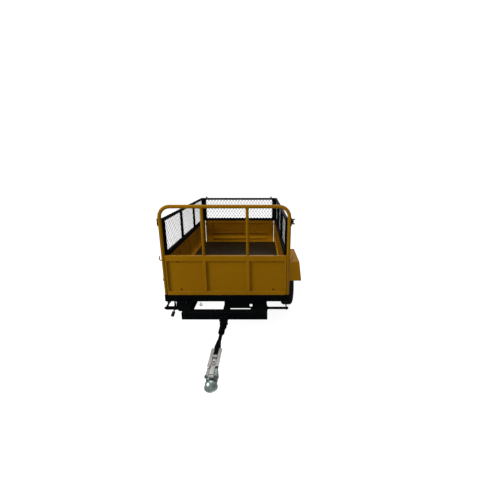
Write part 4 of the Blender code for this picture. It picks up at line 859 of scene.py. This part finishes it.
@dataclass
class Wheel:
    """One wheel: treaded tyre, rim with its nuts, hub, cap and valve.

    Grooves, tread_edge, shoulder and foot are places across the tyre, as shares of half its width. The wall's
    rows are (radius, share), its moulded rings are radii, and the valve's rows are (radius, length).
    """

    side: str
    radius: float = 0.265
    width: float = 0.130
    half_track: float = 0.588
    axle_y: float = 0.46575
    bead_radius: float = 0.152 + 0.0012
    heel: float = 0.010
    toe: float = 0.002
    hollow: float = 0.075
    inner_width: float = 0.9
    foot: float = 0.72
    wall: tuple[Pair, ...] = (
        (0.188, 0.95), (0.214, 1.0), (0.236, 0.965), (0.251, 0.87), (0.2605, 0.70), (0.265, 0.42))
    blocks: int = 56
    grooves: tuple[float, ...] = (-0.36, 0.0, 0.36)
    groove_half: float = 0.030
    groove_depth: float = 0.0055
    tread_edge: float = 0.80
    tread_radius: float = 0.24
    shoulder: float = 0.86
    notch_depth: float = 0.0022
    rings: tuple[float, ...] = (0.176, 0.226)
    ring_half: float = 0.0018
    ring_height: float = 0.0009
    valve_place: Vec = (0.020, -0.118, 0.030)
    valve_rows: tuple[Pair, ...] = (
        (0.0, 0.0), (0.0042, 0.0), (0.0040, 0.010), (0.0030, 0.014), (0.0030, 0.024), (0.0036, 0.025),
        (0.0036, 0.031), (0.0, 0.032))

    @property
    def centre(self) -> Vec:
        """The wheel's middle, a tyre's radius above the ground."""
        return SIDES[self.side] * self.half_track, self.axle_y, self.radius

    def build(self, shop: Workshop) -> None:
        """Dresses the wheel.

        Args:
            shop: the workshop.
        """
        body = f"wheel_{self.side}"
        shop.piece(f"tyre_{self.side}_treaded", [self.tyre()], "tyre", body, [f"tyre_{self.side}"])
        shop.rounded(f"rim_{self.side}", "rim", 0.0015, 3)
        shop.rounded(f"hub_{self.side}", "black", 0.0012)
        shop.rounded(f"hub_cap_{self.side}", "plastic", 0.0020, 3)
        shop.piece(f"valve_{self.side}", [self.valve()], "plastic", body)

    def tyre(self) -> Shell:
        """The tyre: a closed section turned about the axle, with ribs round it and blocks cut across.

        The tread's depth at a place is the deeper of its ribs' grooves and the cross cuts. Both fade to
        nothing on the shoulder, which has notches of its own, and the wall carries two thin moulded rings.
        """
        half = self.width * 0.5
        side_rows = [(self.bead_radius, self.foot), (self.bead_radius + self.heel, 0.80), *self.wall]
        mirrored = [(radius, -share) for radius, share in side_rows]
        control = np.array([*mirrored, (self.radius, 0.0), *reversed(side_rows)])
        knot = np.arange(len(control))
        fine = np.linspace(0, len(control) - 1, 150)
        radius = np.minimum(smooth_through(knot, control[:, 0], fine), self.radius)
        offset = np.clip(smooth_through(knot, control[:, 1], fine), -1.0, 1.0) * half
        angle = np.linspace(0.0, TURN, self.blocks * 8, endpoint=False)
        share = offset / half
        spread = offset - np.sign(offset) * self.ring_height + np.sign(offset) * self.moulding(radius)
        reach = radius[None, :] - self.depth(angle, share, radius)
        inner_share = np.linspace(self.foot, -self.foot, 12)
        inner_radius = self.bead_radius + self.heel + self.hollow * (1.0 - (inner_share / self.foot) ** 4)
        inner_radius[[0, -1]] = self.bead_radius + self.toe
        across = np.concatenate((spread, inner_share * half * self.inner_width))
        out = np.hstack((reach, np.tile(inner_radius, (len(angle), 1))))
        points = np.stack((np.broadcast_to(across, out.shape), out * np.cos(angle)[:, None],
                           out * np.sin(angle)[:, None]), axis=-1) + np.array(self.centre)
        return Shell(points.reshape(-1, 3), lattice(*out.shape, True))

    def depth(self, angle: Array, share: Array, radius: Array) -> Array:
        """How deep the tread and the shoulder's notches are cut, for each angle and place across the tyre.

        Args:
            angle: the angles round the tyre.
            share: the places across it, as shares of half its width.
            radius: the uncut radius at each place.

        Returns:
            the depth in metres, a row for each angle.
        """
        side = np.abs(share)
        on_tread = np.clip((self.tread_edge - side) / 0.10, 0.0, 1.0) * (radius > self.tread_radius)
        ribs = np.zeros_like(share)
        for place in self.grooves:
            ribs = np.maximum(ribs, np.clip(1.6 - np.abs(share - place) / self.groove_half, 0.0, 1.0))
        slant = angle[:, None] * self.blocks + side[None, :] * 2.4
        cuts = np.clip(np.cos(slant) * 3.2 - 2.1, 0.0, 1.0) * (side > 0.40)[None, :]
        tread = self.groove_depth * on_tread[None, :] * np.maximum(ribs[None, :], cuts * 0.85)
        shoulder = np.clip(1.0 - np.abs(side - self.shoulder) / 0.09, 0.0, 1.0)
        notches = np.clip(np.cos(angle[:, None] * self.blocks) * 2.0 - 0.8, 0.0, 1.0)
        return tread + self.notch_depth * shoulder[None, :] * notches

    def moulding(self, radius: Array) -> Array:
        """How far the two moulded rings stand out of the wall at each radius."""
        rises = [np.clip(1.0 - np.abs(radius - ring) / self.ring_half, 0.0, 1.0) for ring in self.rings]
        return sum(self.ring_height * rise for rise in rises)

    def valve(self) -> Shell:
        """The valve stem, a small turned rod that stands out of the rim."""
        sign = SIDES[self.side]
        x, y, z = self.centre
        out, ahead, up = self.valve_place
        place = (x + sign * out, y + ahead, z + up)
        return turned(self.valve_rows, place, Axis.X if sign > 0 else Axis.MINUS_X, 14)


def smooth_through(knots: Array, values: Array, at: Array) -> Array:
    """A cubic Hermite curve through values, with each slope the mean of its two neighbours' chords.

    Args:
        knots: where the values are given.
        values: the values.
        at: where the curve is wanted.

    Returns:
        the curve's values.
    """
    slope = np.gradient(values, knots)
    low = np.clip(np.searchsorted(knots, at, side="right") - 1, 0, len(knots) - 2)
    step = (knots[low + 1] - knots[low]).astype(float)
    t = (at - knots[low]) / step
    return ((1 + 2 * t) * (1 - t) ** 2 * values[low] + t * (1 - t) ** 2 * step * slope[low]
            + t * t * (3 - 2 * t) * values[low + 1] + t * t * (t - 1) * step * slope[low + 1])


@dataclass
class Net:
    """A sheet of expanded mesh: strands that run in zigzags between rows of short flat bonds."""

    name: str
    node: str
    body: str
    wide: float = 0.041
    tall: float = 0.057
    strand: float = 0.0021
    sheet: float = 0.0006
    bond: float = 0.009
    lean: float = 0.0010

    def build(self, shop: Workshop) -> None:
        """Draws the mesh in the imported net's own space.

        Args:
            shop: the workshop.
        """
        low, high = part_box(self.node)
        run = 1 if high.y - low.y > high.x - low.x else 0
        start, end = (low.y, high.y) if run else (low.x, high.x)
        middle = 0.5 * (low.x + high.x) if run else 0.5 * (low.y + high.y)
        cells = max(2, round((end - start) / self.wide))
        rows = max(2, round((high.z - low.z) / self.tall)) * 2
        along = np.linspace(start, end, 2 * cells + 1)
        step = (high.z - low.z) / rows
        shells = [self.zigzag(along, low.z + row * step, step, row % 2, middle, run) for row in range(rows)]
        shop.piece(self.name, shells, "wire", self.body, [self.node])

    def zigzag(self, along: Array, foot: float, step: float, phase: int, middle: float, run: int) -> Shell:
        """One strand: it climbs from bond to bond and falls again, and leans out of the sheet as it climbs.

        Args:
            along: the bonds' places along the sheet.
            foot: the height of the row's lower bonds.
            step: the height from lower to upper bonds.
            phase: 0 if the strand starts low, 1 if it starts high.
            middle: the sheet's own plane.
            run: 1 if the sheet runs along Y, 0 if along X.

        Returns:
            the strand's surface, four-sided.
        """
        half = self.bond / 2
        high = ((np.arange(len(along)) + phase) % 2).repeat(2)
        along = np.clip(along.repeat(2) + np.tile((-half, half), len(along)), along[0], along[-1])
        rise = foot + high * step
        lean = middle + (high - 0.5) * self.lean
        columns = (lean, along, rise) if run else (along, lean, rise)
        path = np.stack(columns, axis=1)
        legs = np.diff(np.stack((along, rise), axis=1), axis=0)
        legs /= np.linalg.norm(legs, axis=1)[:, None]
        before, after = legs[[0, *range(len(legs))]], legs[[*range(len(legs)), -1]]
        bend = before + after
        bend /= np.linalg.norm(bend, axis=1)[:, None]
        reach = (self.strand / np.clip((bend * before).sum(axis=1), 0.5, 1.0))[:, None]
        still = np.zeros((len(path), 1))
        sideways, up = -bend[:, 1:] * reach, bend[:, :1] * reach
        widen = np.hstack((still, sideways, up) if run else (sideways, still, up))
        deepen = np.array((self.sheet, 0.0, 0.0) if run else (0.0, self.sheet, 0.0))
        corners = [path + a * deepen + b * widen for a, b in ((-1, -1), (1, -1), (1, 1), (-1, 1))]
        return Shell(np.stack(corners, axis=1).reshape(-1, 3), closed_strip(len(path)))


def closed_strip(count: int) -> Array:
    """The quads of a four-sided bar, with a quad at each end.

    Args:
        count: how many sections the bar has.

    Returns:
        an (m, 4) array of point numbers.
    """
    sides = lattice(count, 4, False)
    last = 4 * (count - 1)
    ends = np.array(((3, 2, 1, 0), (last, last + 1, last + 2, last + 3)))
    return np.concatenate((sides, ends))


@dataclass
class Body:
    """The amber box with its boards, guards, loop and mesh frames.

    A recess bolt is at (x, z), rail_dome is a bolt's (radius, height), and a post's weld is (height above the
    ground, the post's radius, the bead's radius).
    """

    front: float = -0.37125
    recess: float = 0.018
    board_top: float = 0.8501
    side_x: float = 0.513
    post_x: float = 0.181
    loop_top: float = 1.269
    post_welds: tuple[Vec, ...] = (
        (board_top + 0.0015, 0.0130, 0.0028), (loop_top - 0.0290, 0.0128, 0.0026))
    recess_bolt: float = 0.0062
    recess_bolt_turn: float = 0.3
    recess_bolts: tuple[Pair, ...] = (
        (-0.402, 0.796), (0.402, 0.796), (-0.388, 0.546), (0.396, 0.546))
    rail_bolts: Pair = (-0.400, 0.408)
    rail_bolt_setback: float = 0.012
    rail_dome: Pair = (0.0065, 0.0030)
    side_bolt: float = 0.0060
    side_bolt_places: tuple[float, ...] = (0.08, 0.36, 0.64, 0.92)
    side_bolt_drop: float = 0.015

    def build(self, shop: Workshop) -> None:
        """Dresses the body.

        Args:
            shop: the workshop.
        """
        shop.rounded("body_subframe", "black", 0.0020, 3)
        shop.rounded("floor_plate", "floor", 0.0006)
        shop.rounded("catch_keeper", "black", 0.0008)
        shop.rounded("eye_ring", "black", 0.0003, 1)
        shop.rounded("headboard", "amber", 0.0020, 3)
        shop.rounded("loop_guard", "amber", 0.0008, 2, True)
        for side in SIDES:
            shop.rounded(f"side_board_{side}", "amber_dark", 0.0018, 3, True)
            shop.rounded(f"mudguard_{side}", "amber_guard", 0.0014, 3)
            shop.rounded(f"side_mesh_{side}", "black", 0.0016)
            shop.rounded(f"loop_clamp_{side}", "black", 0.0007, slot=Slot.ZINC)
            shop.rounded(f"tailgate_pin_{side}", "steel", 0.0005)
            shop.rounded(f"tailgate_latch_{side}", "zinc", 0.0006)
            Net(f"side_net_{side}_strands", f"side_net_{side}", "body").build(shop)
        shop.piece("front_bolts", self.front_bolts(), "black", "body", slot=Slot.STEEL)
        shop.piece("side_bolts", self.side_bolts(), "zinc", "body")
        shop.piece("loop_welds", self.loop_welds(), "amber", "body")

    def front_bolts(self) -> list[Shell]:
        """The bolts that hold the headboard: in its recess near the corners, and on its top rail."""
        inner = self.front + self.recess
        shells: list[Shell] = []
        for x, z in self.recess_bolts:
            shells += hexagon_head((x, inner, z), Axis.MINUS_Y, self.recess_bolt, self.recess_bolt_turn)
        for x in self.rail_bolts:
            place = (x, self.front + self.rail_bolt_setback, self.board_top)
            shells.append(domed_head(place, *self.rail_dome))
        return shells

    def side_bolts(self) -> list[Shell]:
        """The bolts along each side, where the mesh frame's foot is fixed to the board."""
        shells: list[Shell] = []
        for side, sign in SIDES.items():
            low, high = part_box(f"side_mesh_{side}")
            axis = Axis.X if sign > 0 else Axis.MINUS_X
            for share in self.side_bolt_places:
                y = low.y + share * (high.y - low.y)
                place = (sign * self.side_x, y, self.board_top - self.side_bolt_drop)
                shells += hexagon_head(place, axis, self.side_bolt, share)
        return shells

    def loop_welds(self) -> list[Shell]:
        """The beads round the posts, at the headboard's top rail and under the loop's top tube."""
        low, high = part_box("loop_guard")
        y = 0.5 * (low.y + high.y)
        return [ring_bead((sign * self.post_x, y, height), radius, thickness)
                for sign in SIDES.values() for height, radius, thickness in self.post_welds]


class Tailgate:
    """The hinged rear board with its mesh panel and drop pins."""

    def build(self, shop: Workshop) -> None:
        """Dresses the tailgate.

        Args:
            shop: the workshop.
        """
        shop.rounded("tailgate", "amber_dark", 0.0018, 3)
        shop.rounded("rear_mesh", "black", 0.0016)
        Net("rear_net_strands", "rear_net", "tailgate").build(shop)
        for side in SIDES:
            shop.rounded(f"drop_pin_{side}", "plastic", 0.0008)


@dataclass(frozen=True)
class Lamp:
    """A square area lamp: where it hangs, what it faces, the length of its side and its power in watts."""

    name: str
    place: Vec
    target: Vec
    size: float
    power: float

    def hang(self, scene: Scene) -> None:
        """Adds the lamp to a scene."""
        data = bpy.data.lights.new(self.name, "AREA")
        data.size = self.size
        data.energy = self.power
        lamp = bpy.data.objects.new(self.name, data)
        lamp.location = self.place
        away = np.array(self.place) - np.array(self.target)
        flat = math.hypot(away[0], away[1])
        lamp.rotation_euler = (math.atan2(flat, away[2]), 0.0, math.atan2(away[0], -away[1]))
        scene.collection.objects.link(lamp)


@dataclass(frozen=True)
class Studio:
    """The pale floor, the soft light and the camera of the photograph."""

    lens: float = 20.06
    shift: float = -0.0306
    tilt: float = 15.7
    eye: Vec = (0.283, -2.504, 1.544)
    sensor: float = 36.0
    sky: float = 0.46
    low_sky: float = 0.20
    floor_reach: float = 40.0
    floor_height: float = -0.0005
    floor_grey: Colour = (0.42, 0.42, 0.42)
    floor_glow: float = 0.90
    lamps: tuple[Lamp, ...] = (
        Lamp("key_lamp", (-4.0, -2.9, 3.2), (0.0, 0.2, 0.6), 2.5, 150.0),
        Lamp("top_lamp", (0.0, 0.3, 4.6), (0.0, 0.3, 0.6), 2.6, 50.0),
        Lamp("back_lamp", (0.9, 5.4, 4.7), (0.0, 0.4, 0.6), 2.6, 70.0),
        Lamp("front_lamp", (0.9, -5.2, 1.1), (0.0, 0.0, 0.6), 3.0, 14.0))

    def build(self) -> None:
        """Builds the studio."""
        scene = bpy.context.scene
        scene.view_settings.view_transform = "Standard"
        self._camera(scene)
        self._sky(scene)
        self._floor(scene)
        for lamp in self.lamps:
            lamp.hang(scene)

    def _camera(self, scene: Scene) -> None:
        """Places the camera as it was worked out from the photograph's edges."""
        data = bpy.data.cameras.new("photo_camera")
        data.sensor_width = self.sensor
        data.lens = self.lens
        data.shift_x = self.shift
        camera = bpy.data.objects.new("photo_camera", data)
        camera.location = self.eye
        camera.rotation_euler = (math.radians(90.0 - self.tilt), 0.0, 0.0)
        scene.collection.objects.link(camera)
        scene.camera = camera

    def _sky(self, scene: Scene) -> None:
        """A white backdrop for the eye, and for the object a sky that is brighter above than low down."""
        world = bpy.data.worlds.new("studio_sky")
        world.use_nodes = True
        scene.world = world
        ink = Ink(world.node_tree)
        light = world.node_tree.nodes["Background"]
        split = ink.node("SeparateXYZ", {"Vector": ink.node("TexCoord").outputs["Generated"]})
        strength = ink.span(split.outputs["Z"], -0.1, 0.75, self.low_sky, self.sky)
        ink.give(light, {"Color": WHITE, "Strength": strength})
        white = ink.node("Background", {"Color": WHITE, "Strength": 1.0})
        mix = ink.node("MixShader", {"Fac": ink.node("LightPath").outputs["Is Camera Ray"]})
        ink.feed(mix.inputs[1], light.outputs["Background"])
        ink.feed(mix.inputs[2], white.outputs["Background"])
        ink.feed(world.node_tree.nodes["World Output"].inputs["Surface"], mix.outputs["Shader"])

    def _floor(self, scene: Scene) -> None:
        """A wide pale floor that shows white to the camera and keeps a soft shadow."""
        mesh = bpy.data.meshes.new("studio_floor")
        reach, height = self.floor_reach, self.floor_height
        corners = ((-reach, -reach), (reach, -reach), (reach, reach), (-reach, reach))
        mesh.from_pydata([(x, y, height) for x, y in corners], [], [(0, 1, 2, 3)])
        floor = bpy.data.objects.new("studio_floor", mesh)
        scene.collection.objects.link(floor)
        material, ink, shader = blank("pale_floor")
        seen = ink.node("LightPath").outputs["Is Camera Ray"]
        ink.give(shader, {
            "Base Color": self.floor_grey,
            "Roughness": 0.9,
            "Specular IOR Level": 0.0,
            "Emission Color": WHITE,
            "Emission Strength": ink.sum("MULTIPLY", seen, self.floor_glow)})
        mesh.materials.append(material)


def main() -> None:
    """Loads the frame, dresses the trailer piece by piece and sets up the studio."""
    logging.basicConfig(level=logging.INFO, format="%(name)s: %(message)s")
    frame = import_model()
    body_of = {node: body for body, nodes in frame["record"]["behaviour"]["bodies"].items() for node in nodes}
    shop = Workshop(frame["nodes"], body_of, Palette().made(Groups()))
    Chassis().build(shop)
    Coupling().build(shop)
    for side in SIDES:
        Wheel(side).build(shop)
    Body().build(shop)
    Tailgate().build(shop)
    LOG.info("the trailer is dressed")
    Studio().build()


if __name__ == "__main__":
    main()
